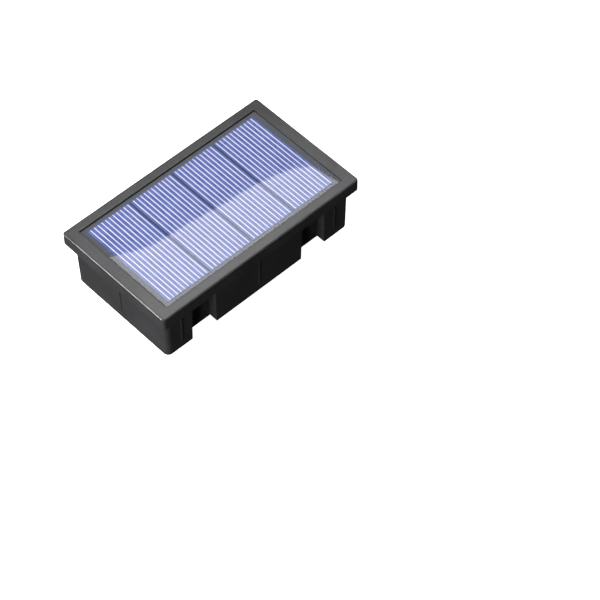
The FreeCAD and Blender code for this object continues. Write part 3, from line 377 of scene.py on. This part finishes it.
def laminate_board(look):
    """Pale glass-epoxy board, printed dark where the cells lie on it."""
    made = Finish("backing laminate")
    x, y, _ = made.axes()
    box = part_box("solar_cells")
    edge = 0.25 * MM
    inside_x = made.curve(abs(x), box[1].x, box[1].x + edge, 1.0, 0.0)
    inside_y = made.curve(abs(y), box[1].y, box[1].y + edge, 1.0, 0.0)
    thread = math.tau / (0.55 * MM)
    warp = made.maths("SINE", x * thread)
    weft = made.maths("SINE", y * thread)
    weave = warp * weft * 0.5 + 0.5
    cloud = made.noise(110.0, 3.0)
    pale = made.blend(weave * 0.5 + cloud * 0.5, look.margin_dark, look.margin_colour)
    dark = made.blend(cloud, look.gap_dark, look.gap_colour)
    return made.surface(
        Base_Color=made.blend(inside_x * inside_y, pale, dark),
        Roughness=0.55 + 0.15 * (cloud - 0.5),
        Normal=made.relief(weave, 0.02 * MM),
    )


def clear_layer_finish():
    """Clear epoxy: it lets the cells show and mirrors more of the studio at low angles."""
    made = Finish("clear epoxy")
    ripple = made.noise(22.0, 2.0)
    dust = made.noise(1400.0, 3.0, 0.7)
    normal = made.relief(ripple, 0.003 * MM)
    facing = made.node("ShaderNodeLayerWeight", {}, {"Blend": 0.5, "Normal": normal}, "Facing")
    head_on = 0.04
    mirror = head_on + (1.0 - head_on) * made.maths("POWER", facing, 5.0)
    gloss = made.node("ShaderNodeBsdfPrincipled", {}, {
        "Base Color": (1.0, 1.0, 1.0, 1.0),
        "Metallic": 1.0,
        "Roughness": 0.015 + 0.04 * made.curve(dust, 0.5, 0.8),
        "Normal": normal,
    })
    clear = made.node("ShaderNodeBsdfTransparent", {}, {"Color": (0.97, 0.98, 0.97, 1.0)})
    both = made.node("ShaderNodeMixShader", {}, {0: mirror, 1: clear, 2: gloss})
    return made.end(both)


def plated(name, colour, rough=0.28, brushed=True):
    """Plated or drawn metal with a light brushing and dull spots."""
    made = Finish(name)
    along = made.stretched(y=0.15) if brushed else made.place
    streak = made.noise(3200.0, 3.0, 0.6, along)
    spots = made.noise(420.0, 3.0)
    dull = [part * 0.72 for part in colour]
    tone = made.blend(made.curve(spots * 0.6 + streak * 0.4, 0.35, 0.75), (*dull, 1.0),
                      (*colour, 1.0))
    return made.surface(
        Base_Color=tone,
        Metallic=1.0,
        Roughness=rough + 0.25 * (streak - 0.5) + 0.2 * (spots - 0.5),
        Normal=made.relief(streak, 0.006 * MM),
    )


def moulded(name, colour, rough=0.4, grain=1800.0, shine=0.5, depth=0.012):
    """Plain moulded plastic, rubber, card or epoxy: fine grain and uneven tone."""
    made = Finish(name)
    fine = made.noise(grain, 3.0, 0.6)
    cloud = made.noise(160.0, 3.0)
    shade = [part * 0.8 for part in colour]
    tone = made.blend(made.curve(cloud * 0.6 + fine * 0.4, 0.3, 0.7), (*shade, 1.0),
                      (*colour, 1.0))
    return made.surface(
        Base_Color=tone,
        Roughness=rough + 0.18 * (cloud - 0.5) + 0.1 * (fine - 0.5),
        Specular_IOR_Level=shine,
        Normal=made.relief(fine, depth * MM),
    )


def phosphor_gel():
    """Yellow phosphor grains stirred into clear silicone."""
    made = Finish("phosphor gel")
    grains = made.crystals(6500.0)
    cloud = made.noise(900.0, 2.0)
    tone = made.blend(made.curve(grains * 0.5 + cloud * 0.5, 0.2, 0.65),
                      (0.95, 0.83, 0.10, 1.0), (0.82, 0.60, 0.05, 1.0))
    return made.surface(Base_Color=tone, Roughness=0.3 + 0.2 * (cloud - 0.5),
                        Coat_Weight=0.4, Normal=made.relief(grains, 0.01 * MM))


def green_board():
    """Glass-epoxy board under green solder resist, with copper areas showing through."""
    made = Finish("green circuit board")
    x, y, _ = made.axes()
    thread = math.tau / (0.6 * MM)
    weave = made.maths("SINE", x * thread) * made.maths("SINE", y * thread) * 0.5 + 0.5
    cloud = made.noise(300.0, 2.0)
    copper = made.curve(made.crystals(130.0, "Distance", "DISTANCE_TO_EDGE"), 0.05, 0.06)
    resist = made.blend(copper, (0.012, 0.10, 0.035, 1.0), (0.03, 0.21, 0.07, 1.0))
    tone = made.blend(weave * 0.25 + cloud * 0.2, resist, (0.02, 0.14, 0.06, 1.0))
    return made.surface(Base_Color=tone, Roughness=0.32 + 0.2 * (cloud - 0.5),
                        Normal=made.relief(copper * 0.8 + weave * 0.2, 0.03 * MM))


def banded_coat():
    """Green epoxy coat of an axial inductor with three generic value bands."""
    made = Finish("inductor coat")
    x, _, _ = made.axes()
    low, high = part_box("inductor")
    along = (x - low.x) / (high.x - low.x)
    cloud = made.noise(900.0, 2.0)
    tone = made.blend(cloud * 0.5, (0.05, 0.26, 0.12, 1.0), (0.09, 0.36, 0.19, 1.0))
    bands = [(0.30, (0.20, 0.07, 0.02, 1.0)), (0.45, (0.01, 0.01, 0.01, 1.0)),
             (0.60, (0.55, 0.06, 0.02, 1.0))]
    for middle, colour in bands:
        inside = abs(along - middle) < 0.035
        tone = made.blend(inside, tone, colour)
    return made.surface(Base_Color=tone, Roughness=0.25 + 0.2 * (cloud - 0.5),
                        Coat_Weight=0.5, Normal=made.relief(cloud, 0.03 * MM))


def shrunk_sleeve():
    """Heat-shrunk film: fine wrinkles that grow towards both ends of the cell."""
    made = Finish("shrunk sleeve")
    x, _, _ = made.axes()
    low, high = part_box("battery_sleeve")
    middle = (low.x + high.x) / 2
    half = (high.x - low.x) / 2
    to_end = made.curve(abs(x - middle) / half, 0.86, 1.0)
    wrinkle = made.noise(700.0, 3.0, 0.6, made.stretched(x=0.35))
    cloud = made.noise(60.0, 2.0)
    tone = made.blend(cloud, (0.03, 0.17, 0.09, 1.0), (0.05, 0.24, 0.13, 1.0))
    return made.surface(Base_Color=tone, Roughness=0.28 + 0.12 * (cloud - 0.5),
                        Normal=made.relief(wrinkle * (0.15 + to_end), 0.10 * MM))


# ---------------------------------------------------------------- settings


class PlasticLook(PropertyGroup):
    """The black plastic of the moulding and its bottom cover."""

    colour: FloatVectorProperty(
        name="Colour", description="Base colour of the black plastic", subtype="COLOR",
        size=3, min=0.0, max=1.0, default=(0.026, 0.026, 0.027))
    roughness: FloatProperty(
        name="Roughness", description="0 is polished, 1 is matt", subtype="FACTOR",
        min=0.0, max=1.0, default=0.14)
    shine: FloatProperty(
        name="Shine", description="Strength of the mirror-like share", subtype="FACTOR",
        min=0.0, max=1.0, default=0.5)
    grain: FloatProperty(
        name="Grain", description="Grains of the mould's texture in a metre",
        min=200.0, max=9000.0, default=2600.0)
    grain_depth: FloatProperty(
        name="Grain depth", description="Depth of the mould's texture, in millimetres",
        min=0.0, max=0.2, default=0.03)


class PanelLook(PropertyGroup):
    """The solar panel: its cells, printed fingers and clear layer."""

    cell_colour: FloatVectorProperty(
        name="Cell colour", description="Blue of the silicon under its clear layer",
        subtype="COLOR", size=3, min=0.0, max=1.0, default=(0.090, 0.119, 0.336))
    margin_colour: FloatVectorProperty(
        name="Margin", description="Light tone of the board outside the cells",
        subtype="COLOR", size=4, min=0.0, max=1.0, default=(0.095, 0.100, 0.120, 1.0))
    margin_dark: FloatVectorProperty(
        name="Margin shade", description="Dark tone of the board outside the cells",
        subtype="COLOR", size=4, min=0.0, max=1.0, default=(0.068, 0.072, 0.086, 1.0))
    gap_colour: FloatVectorProperty(
        name="Gap", description="Light tone of the board between the cells",
        subtype="COLOR", size=4, min=0.0, max=1.0, default=(0.044, 0.068, 0.134, 1.0))
    gap_dark: FloatVectorProperty(
        name="Gap shade", description="Dark tone of the board between the cells",
        subtype="COLOR", size=4, min=0.0, max=1.0, default=(0.029, 0.046, 0.092, 1.0))
    cells: IntProperty(
        name="Cells", description="Cells in the row", min=1, max=12, default=4)
    fingers: IntProperty(
        name="Fingers", description="Printed fingers on each cell", min=2, max=60, default=11)
    finger_pitch: FloatProperty(
        name="Finger pitch", description="From one finger to the next", unit="LENGTH",
        min=0.0005, max=0.01, default=1.725 * MM)
    cell_pitch: FloatProperty(
        name="Cell pitch", description="From one cell's middle to the next", unit="LENGTH",
        min=0.001, max=0.1, default=20.0 * MM)
    finger_width: FloatProperty(
        name="Finger width", description="Width of one printed finger", unit="LENGTH",
        min=0.00005, max=0.002, default=0.260 * MM)
    finger_rise: FloatProperty(
        name="Finger height", description="Height of a finger above the cell",
        unit="LENGTH", min=0.000005, max=0.0005, default=0.03 * MM)
    finger_margin: FloatProperty(
        name="Finger margin", description="From a finger's end to the cell's edge",
        unit="LENGTH", min=0.0, max=0.005, default=0.15 * MM)
    rim_radius: FloatProperty(
        name="Edge rounding", description="Rounding of the clear layer's upper edge",
        unit="LENGTH", min=0.00005, max=0.0009, default=0.30 * MM)


class ScrewLook(PropertyGroup):
    """The self-cutting threads of the four screws."""

    pitch: FloatProperty(
        name="Thread pitch", description="Rise of the thread in one turn", unit="LENGTH",
        min=0.0002, max=0.003, default=0.85 * MM)
    depth: FloatProperty(
        name="Thread depth", description="Height of the thread above the shank",
        unit="LENGTH", min=0.00005, max=0.001, default=0.24 * MM)


class StudioLook(PropertyGroup):
    """The white studio and its camera."""

    lens: FloatProperty(
        name="Lens", description="Focal length of the camera, in millimetres",
        min=10.0, max=500.0, default=149.94)
    camera_place: FloatVectorProperty(
        name="Camera place", description="Where the camera stands", subtype="TRANSLATION",
        unit="LENGTH", size=3, default=(-0.367536, -0.443857, 0.688114))
    camera_turn: FloatVectorProperty(
        name="Camera turn", description="The camera's rotation", subtype="EULER", size=3,
        default=tuple(math.radians(a) for a in (37.79501, 0.38560, -43.23675)))
    floor_glow: FloatProperty(
        name="Floor glow", description="Light that the white floor gives by itself",
        min=0.0, max=3.0, default=0.94)
    softbox: FloatProperty(
        name="Softbox", description="Brightness of the softbox that the panel mirrors",
        min=0.0, max=50.0, default=4.50)
    side: FloatProperty(
        name="Side light", description="Brightness of the card beside the short wall",
        min=0.0, max=100.0, default=55.00)
    top: FloatProperty(
        name="Top light", description="Brightness of the card above and behind",
        min=0.0, max=50.0, default=6.69)
    left: FloatProperty(
        name="Left fill", description="Brightness of the low card left of the short wall",
        min=0.0, max=50.0, default=15.17)
    far: FloatProperty(
        name="Far light", description="Brightness of the low card behind the far end",
        min=0.0, max=50.0, default=2.00)
    edge: FloatProperty(
        name="Edge light", description="Brightness of the strip that the front edge mirrors",
        min=0.0, max=100.0, default=14.00)


class FenceLightLook(PropertyGroup):
    """All settings of the fence light module."""

    plastic: PointerProperty(type=PlasticLook)
    panel: PointerProperty(type=PanelLook)
    screws: PointerProperty(type=ScrewLook)
    studio: PointerProperty(type=StudioLook)


# ---------------------------------------------------------------- pieces


class MouldingOperator(Operator):
    """Finish the black moulding and its bottom cover"""

    bl_idname = "fence_light.mouldings"
    bl_label = "Mouldings"

    def execute(self, context):
        material = black_moulding(context.scene.fence_light.plastic)
        dress(["housing", "bottom_cover"], material)
        return {"FINISHED"}


class PanelOperator(Operator):
    """Finish the solar panel, print its fingers and pour its clear layer"""

    bl_idname = "fence_light.solar_panel"
    bl_label = "Solar panel"

    def execute(self, context):
        look = context.scene.fence_light.panel
        dress(["panel_backing_board"], laminate_board(look))
        dress(["solar_cells"], blue_cells(look))
        dress(["panel_adhesive"], moulded("white silicone", (0.72, 0.72, 0.70), 0.55, 900.0))
        dress(["panel_terminals"], plated("bright solder", (0.78, 0.78, 0.79), 0.3, False))
        self.print_fingers(look)
        self.pour_clear_layer(look)
        return {"FINISHED"}

    def print_fingers(self, look):
        """One printed finger, set out along every cell by Geometry Nodes."""
        low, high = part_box("solar_cells")
        recipe = Recipe("cell fingers")
        cells = recipe.size("Cells", look.cells, "NodeSocketInt")
        cell_pitch = recipe.size("Cell pitch", look.cell_pitch)
        fingers = recipe.size("Fingers per cell", look.fingers, "NodeSocketInt")
        pitch = recipe.size("Finger pitch", look.finger_pitch)
        length = recipe.size("Finger length", high.y - low.y - 2 * look.finger_margin)
        width = recipe.size("Finger width", look.finger_width)
        rise = recipe.size("Finger rise", look.finger_rise)
        level = recipe.size("Cell top", high.z)
        cell_row = self.row(recipe, cells, cell_pitch)
        finger_row = self.row(recipe, fingers, pitch)
        both = recipe.node("GeometryNodeInstanceOnPoints", {},
                           {"Points": cell_row, "Instance": finger_row})
        spots = recipe.node("GeometryNodeRealizeInstances", {}, {0: both})
        bar = recipe.node("GeometryNodeMeshCylinder", {"fill_type": "NGON"},
                          {"Vertices": 10, "Radius": 1.0, "Depth": 1.0})
        finger = recipe.node("GeometryNodeTransform", {}, {
            "Geometry": bar,
            "Translation": recipe.vector(z=level),
            "Rotation": (math.radians(90.0), 0.0, 0.0),
            "Scale": recipe.vector(width * 0.5, rise, length),
        })
        printed = recipe.node("GeometryNodeInstanceOnPoints", {},
                              {"Points": spots, "Instance": finger})
        recipe.finished(printed, silver_paste())
        part_of(recipe.grow("cell_fingers"))

    def row(self, recipe, count, pitch):
        """A row of points along X, centred on the origin."""
        start = (count - 1.0) * pitch * -0.5
        return recipe.node("GeometryNodeMeshLine", {"mode": "OFFSET"}, {
            "Count": count,
            "Start Location": recipe.vector(start),
            "Offset": recipe.vector(pitch),
        })

    def pour_clear_layer(self, look):
        """The cast epoxy, with the rounded upper edge that its skin gives it."""
        low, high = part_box("panel_encapsulant")
        half_x = (high.x - low.x) / 2
        half_y = (high.y - low.y) / 2
        corner = 0.6 * MM
        sunk = 0.01 * MM
        radius = look.rim_radius
        steps = 6
        levels = [(0.0, low.z - sunk)]
        for step in range(steps + 1):
            angle = math.radians(90.0 * step / steps)
            inset = radius * (1.0 - math.cos(angle))
            levels.append((inset, high.z - radius * (1.0 - math.sin(angle))))
        rings = []
        for inset, height in levels:
            outline = rounded_outline(half_x - inset, half_y - inset, corner - inset / 2, 6)
            rings.append([(x, y, height) for x, y in outline])
        points, faces = stacked_rings(rings)
        layer = mesh_object("clear_layer", points, faces, clear_layer_finish())
        part_of(layer)
        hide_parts("panel_encapsulant")


class ScrewOperator(Operator):
    """Finish the four screws and cut their threads"""

    bl_idname = "fence_light.screws"
    bl_label = "Screws"

    def execute(self, context):
        look = context.scene.fence_light.screws
        steel = plated("bright zinc", (0.80, 0.80, 0.79), 0.26)
        dress(["cover_screws", "board_screws"], steel)
        self.thread("cover_screws", "cover_screw_threads", look, steel, 3.4 * MM)
        self.thread("board_screws", "board_screw_threads", look, steel, 1.9 * MM)
        return {"FINISHED"}

    def thread(self, node, name, look, steel, plain):
        """A triangular thread wound round both shanks of a pair of screws."""
        low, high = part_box(node)
        first, second = self.shanks(node)
        shank = 1.0 * MM
        tip = 0.5 * MM
        run = high.z - low.z - plain - tip
        foot = low.z + (plain if self.heads_are_low(node) else tip)
        recipe = Recipe(name.replace("_", " "))
        turns = recipe.size("Turns", run / look.pitch)
        radius = recipe.size("Shank radius", shank)
        depth = recipe.size("Thread depth", look.depth)
        height = recipe.size("Thread length", run)
        place = recipe.size("First screw", (first.x, first.y, foot),
                            "NodeSocketVector")
        gap = recipe.size("To second screw", (second.x - first.x, second.y - first.y, 0.0),
                          "NodeSocketVector")
        coil = recipe.node("GeometryNodeCurveSpiral", {}, {
            "Resolution": 24, "Rotations": turns, "Start Radius": radius,
            "End Radius": radius, "Height": height})
        ridge = recipe.node("GeometryNodeCurvePrimitiveCircle", {"mode": "RADIUS"},
                            {"Resolution": 4, "Radius": depth})
        wound = recipe.node("GeometryNodeCurveToMesh", {}, {
            "Curve": coil, "Profile Curve": ridge, "Fill Caps": True})
        spots = recipe.node("GeometryNodeMeshLine", {"mode": "OFFSET"}, {
            "Count": 2, "Start Location": place, "Offset": gap})
        both = recipe.node("GeometryNodeInstanceOnPoints", {},
                           {"Points": spots, "Instance": wound})
        recipe.finished(both, steel)
        part_of(recipe.grow(name))

    def heads_are_low(self, node):
        """Whether the pair's heads are at its lower end, which is then the wider one."""
        low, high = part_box(node)
        near = 0.3 * MM
        points = [vertex.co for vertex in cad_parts[node].data.vertices]
        lower = [point.y for point in points if point.z - low.z < near]
        upper = [point.y for point in points if high.z - point.z < near]
        return max(lower) - min(lower) > max(upper) - min(upper)

    def shanks(self, node):
        """The axes of the two screws of a pair, from the points near their upper ends."""
        low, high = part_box(node)
        near = 0.3 * MM
        ends = [vertex.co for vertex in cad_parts[node].data.vertices
                if high.z - vertex.co.z < near]
        split = sum(end.x for end in ends) / len(ends)
        halves = [[end for end in ends if end.x < split],
                  [end for end in ends if end.x >= split]]
        return [Vector((midpoint([end.x for end in half]),
                        midpoint([end.y for end in half]), 0.0)) for half in halves]


class DiodeOperator(Operator):
    """Finish the light-emitting diode"""

    bl_idname = "fence_light.diode"
    bl_label = "Diode"

    def execute(self, context):
        dress(["diode_frame"], moulded("diode package", (0.86, 0.86, 0.84), 0.35, 2400.0))
        dress(["diode_phosphor"], phosphor_gel())
        dress(["diode_pads"], plated("tinned pads", (0.76, 0.76, 0.75), 0.3, False))
        return {"FINISHED"}


class SwitchOperator(Operator):
    """Finish the push switch"""

    bl_idname = "fence_light.switch"
    bl_label = "Push switch"

    def execute(self, context):
        dress(["switch_housing"], moulded("switch case", (0.84, 0.84, 0.82), 0.4, 1500.0))
        dress(["switch_plunger"], moulded("switch button", (0.80, 0.80, 0.78), 0.36, 1500.0))
        dress(["switch_base"], moulded("dark phenolic", (0.08, 0.045, 0.025), 0.5, 900.0))
        dress(["switch_pins"], plated("tinned pins", (0.76, 0.75, 0.73), 0.3))
        dress(["switch_contact"], plated("contact bronze", (0.72, 0.47, 0.24), 0.3))
        dress(["switch_spring"], plated("spring steel", (0.55, 0.55, 0.56), 0.25))
        return {"FINISHED"}


class BoardOperator(Operator):
    """Finish the circuit board and what stands on it"""

    bl_idname = "fence_light.circuit_board"
    bl_label = "Circuit board"

    def execute(self, context):
        dress(["circuit_board"], green_board())
        dress(["solder_joints"], plated("solder beads", (0.76, 0.77, 0.79), 0.2, False))
        dress(["driver_chip"], moulded("chip epoxy", (0.025, 0.025, 0.025), 0.5, 2600.0))
        tin = plated("tinned leads", (0.74, 0.74, 0.73), 0.3)
        dress(["driver_chip_legs", "inductor_leads"], tin)
        dress(["inductor"], banded_coat())
        return {"FINISHED"}


class BatteryOperator(Operator):
    """Finish the rechargeable cell and its tabs"""

    bl_idname = "fence_light.battery"
    bl_label = "Battery"

    def execute(self, context):
        dress(["battery_can", "battery_button"],
              plated("nickel-plated steel", (0.66, 0.64, 0.60), 0.24))
        dress(["battery_sleeve"], shrunk_sleeve())
        dress(["battery_washer"], moulded("washer card", (0.70, 0.68, 0.62), 0.8, 1200.0))
        dress(["battery_tabs"], plated("nickel strip", (0.68, 0.66, 0.60), 0.3))
        return {"FINISHED"}


class WireOperator(Operator):
    """Finish the four wires"""

    bl_idname = "fence_light.wires"
    bl_label = "Wires"

    def execute(self, context):
        black = moulded("black insulation", (0.02, 0.02, 0.02), 0.42, 900.0)
        red = moulded("red insulation", (0.55, 0.02, 0.015), 0.38, 900.0)
        dress(["panel_wire_black", "battery_wire_black"], black)
        dress(["panel_wire_red", "battery_wire_red"], red)
        return {"FINISHED"}


# ---------------------------------------------------------------- studio


# light cards: direction from the object, distance, width and height, and whether glossy
# faces mirror them
CARDS = {
    "side": ((-0.80, 0.45, 0.40), 0.90, (0.08, 0.45), True),
    "top": ((-0.45, 0.35, 0.85), 1.10, (0.90, 0.90), False),
    "left": ((-1.00, -0.25, 0.20), 0.90, (0.60, 0.40), False),
    "far": ((1.00, 0.25, 0.25), 1.00, (1.20, 0.80), False),
    "edge": ((0.42, -0.76, 0.50), 1.00, (0.30, 0.06), True),
}

# the softbox: its height, its near corners and the points of its curved far edge
SOFTBOX_HEIGHT = 1.0
SOFTBOX_NEAR = [(0.300, 0.300), (0.636, 0.300)]
SOFTBOX_FAR = [
    (0.634, 0.594), (0.630, 0.618), (0.613, 0.629), (0.599, 0.633), (0.579, 0.637),
    (0.560, 0.639), (0.534, 0.641), (0.512, 0.644), (0.487, 0.646), (0.464, 0.649),
    (0.445, 0.657), (0.420, 0.669), (0.300, 0.715),
]


class StageOperator(Operator):
    """Set up the white floor, the light cards and the camera"""

    bl_idname = "fence_light.stage"
    bl_label = "White studio"

    def execute(self, context):
        look = context.scene.fence_light.studio
        context.scene.view_settings.view_transform = "Standard"
        self.white_world(context.scene)
        self.lay_floor(look)
        self.hang_softbox(look)
        for name, (direction, distance, size, mirrored) in CARDS.items():
            brightness = getattr(look, name)
            self.card(f"{name}_card", direction, distance, size, brightness, mirrored)
        self.place_camera(context.scene, look)
        return {"FINISHED"}

    def white_world(self, scene):
        """White behind everything, which lights and mirrors in nothing."""
        world = bpy.data.worlds.new("white surround")
        world.use_nodes = True
        world.node_tree.nodes["Background"].inputs["Color"].default_value = (1, 1, 1, 1)
        world.cycles_visibility.diffuse = False
        world.cycles_visibility.glossy = False
        scene.world = world

    def lay_floor(self, look):
        """A white sweep just under the lowest point of the object."""
        reach = 4.0
        height = SOLIDS_BOX[0][2]
        points = [(-reach, -reach, height), (reach, -reach, height),
                  (reach, reach, height), (-reach, reach, height)]
        made = Finish("white floor")
        cloud = made.noise(3.0, 2.0)
        tone = made.blend(cloud, (0.90, 0.90, 0.90, 1.0), (0.93, 0.93, 0.93, 1.0))
        white = made.surface(Base_Color=tone, Roughness=0.9, Specular_IOR_Level=0.0,
                             Emission_Color=(1.0, 1.0, 1.0, 1.0),
                             Emission_Strength=look.floor_glow)
        floor = mesh_object("floor", points, [(0, 1, 2, 3)], white)
        floor.visible_glossy = False
        floor.visible_diffuse = False

    def glow(self, name, brightness):
        """An even light-giving surface."""
        made = Finish(name)
        shader = made.node("ShaderNodeEmission", {}, {"Strength": brightness})
        return made.end(shader)

    def card(self, name, direction, distance, size, brightness, mirrored):
        """A flat light card that faces the object, unseen by the camera and, unless it is
        mirrored, without a glint of its own."""
        back = Vector(direction).normalized()
        side = back.cross(Vector((0.0, 0.0, 1.0))).normalized()
        rise = side.cross(back)
        middle = back * distance
        corners = [(-1, -1), (1, -1), (1, 1), (-1, 1)]
        points = [middle + side * (size[0] / 2 * a) + rise * (size[1] / 2 * b)
                  for a, b in corners]
        card = mesh_object(name, points, [(0, 1, 2, 3)], self.glow(name, brightness))
        card.visible_camera = False
        card.visible_glossy = mirrored

    def hang_softbox(self, look):
        """The softbox whose curved far edge the clear layer mirrors across the cells."""
        points = [(x, y, SOFTBOX_HEIGHT) for x, y in SOFTBOX_NEAR + SOFTBOX_FAR]
        face = tuple(range(len(points)))
        softbox = mesh_object("softbox", points, [face], self.glow("softbox", look.softbox))
        softbox.visible_camera = False

    def place_camera(self, scene, look):
        """A long lens at the photograph's angle and distance."""
        data = bpy.data.cameras.new("camera")
        data.lens = look.lens
        data.sensor_width = 36.0
        data.clip_start = 0.01
        camera = bpy.data.objects.new("camera", data)
        camera.location = look.camera_place
        camera.rotation_euler = Euler(look.camera_turn)
        scene.collection.objects.link(camera)
        scene.camera = camera


class FenceLightPanel(Panel):
    """The sidebar tab that lists the steps and their settings"""

    bl_idname = "VIEW3D_PT_fence_light"
    bl_label = "Fence Light"
    bl_space_type = "VIEW_3D"
    bl_region_type = "UI"
    bl_category = "Fence Light"

    def draw(self, context):
        look = context.scene.fence_light
        for group in (look.plastic, look.panel, look.screws, look.studio):
            box = self.layout.box()
            for name in group.__annotations__:
                box.prop(group, name)
        for operator in OPERATORS:
            self.layout.operator(operator.bl_idname)


OPERATORS = (MouldingOperator, PanelOperator, ScrewOperator, DiodeOperator, SwitchOperator,
             BoardOperator, BatteryOperator, WireOperator, StageOperator)
CLASSES = (PlasticLook, PanelLook, ScrewLook, StudioLook, FenceLightLook,
           *OPERATORS, FenceLightPanel)


def register():
    for cls in CLASSES:
        bpy.utils.register_class(cls)
    bpy.types.Scene.fence_light = PointerProperty(type=FenceLightLook)


def unregister():
    del bpy.types.Scene.fence_light
    for cls in reversed(CLASSES):
        bpy.utils.unregister_class(cls)


def main():
    """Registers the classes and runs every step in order."""
    register()
    for operator in OPERATORS:
        group, name = operator.bl_idname.split(".")
        getattr(getattr(bpy.ops, group), name)()


if __name__ == "__main__":
    main()
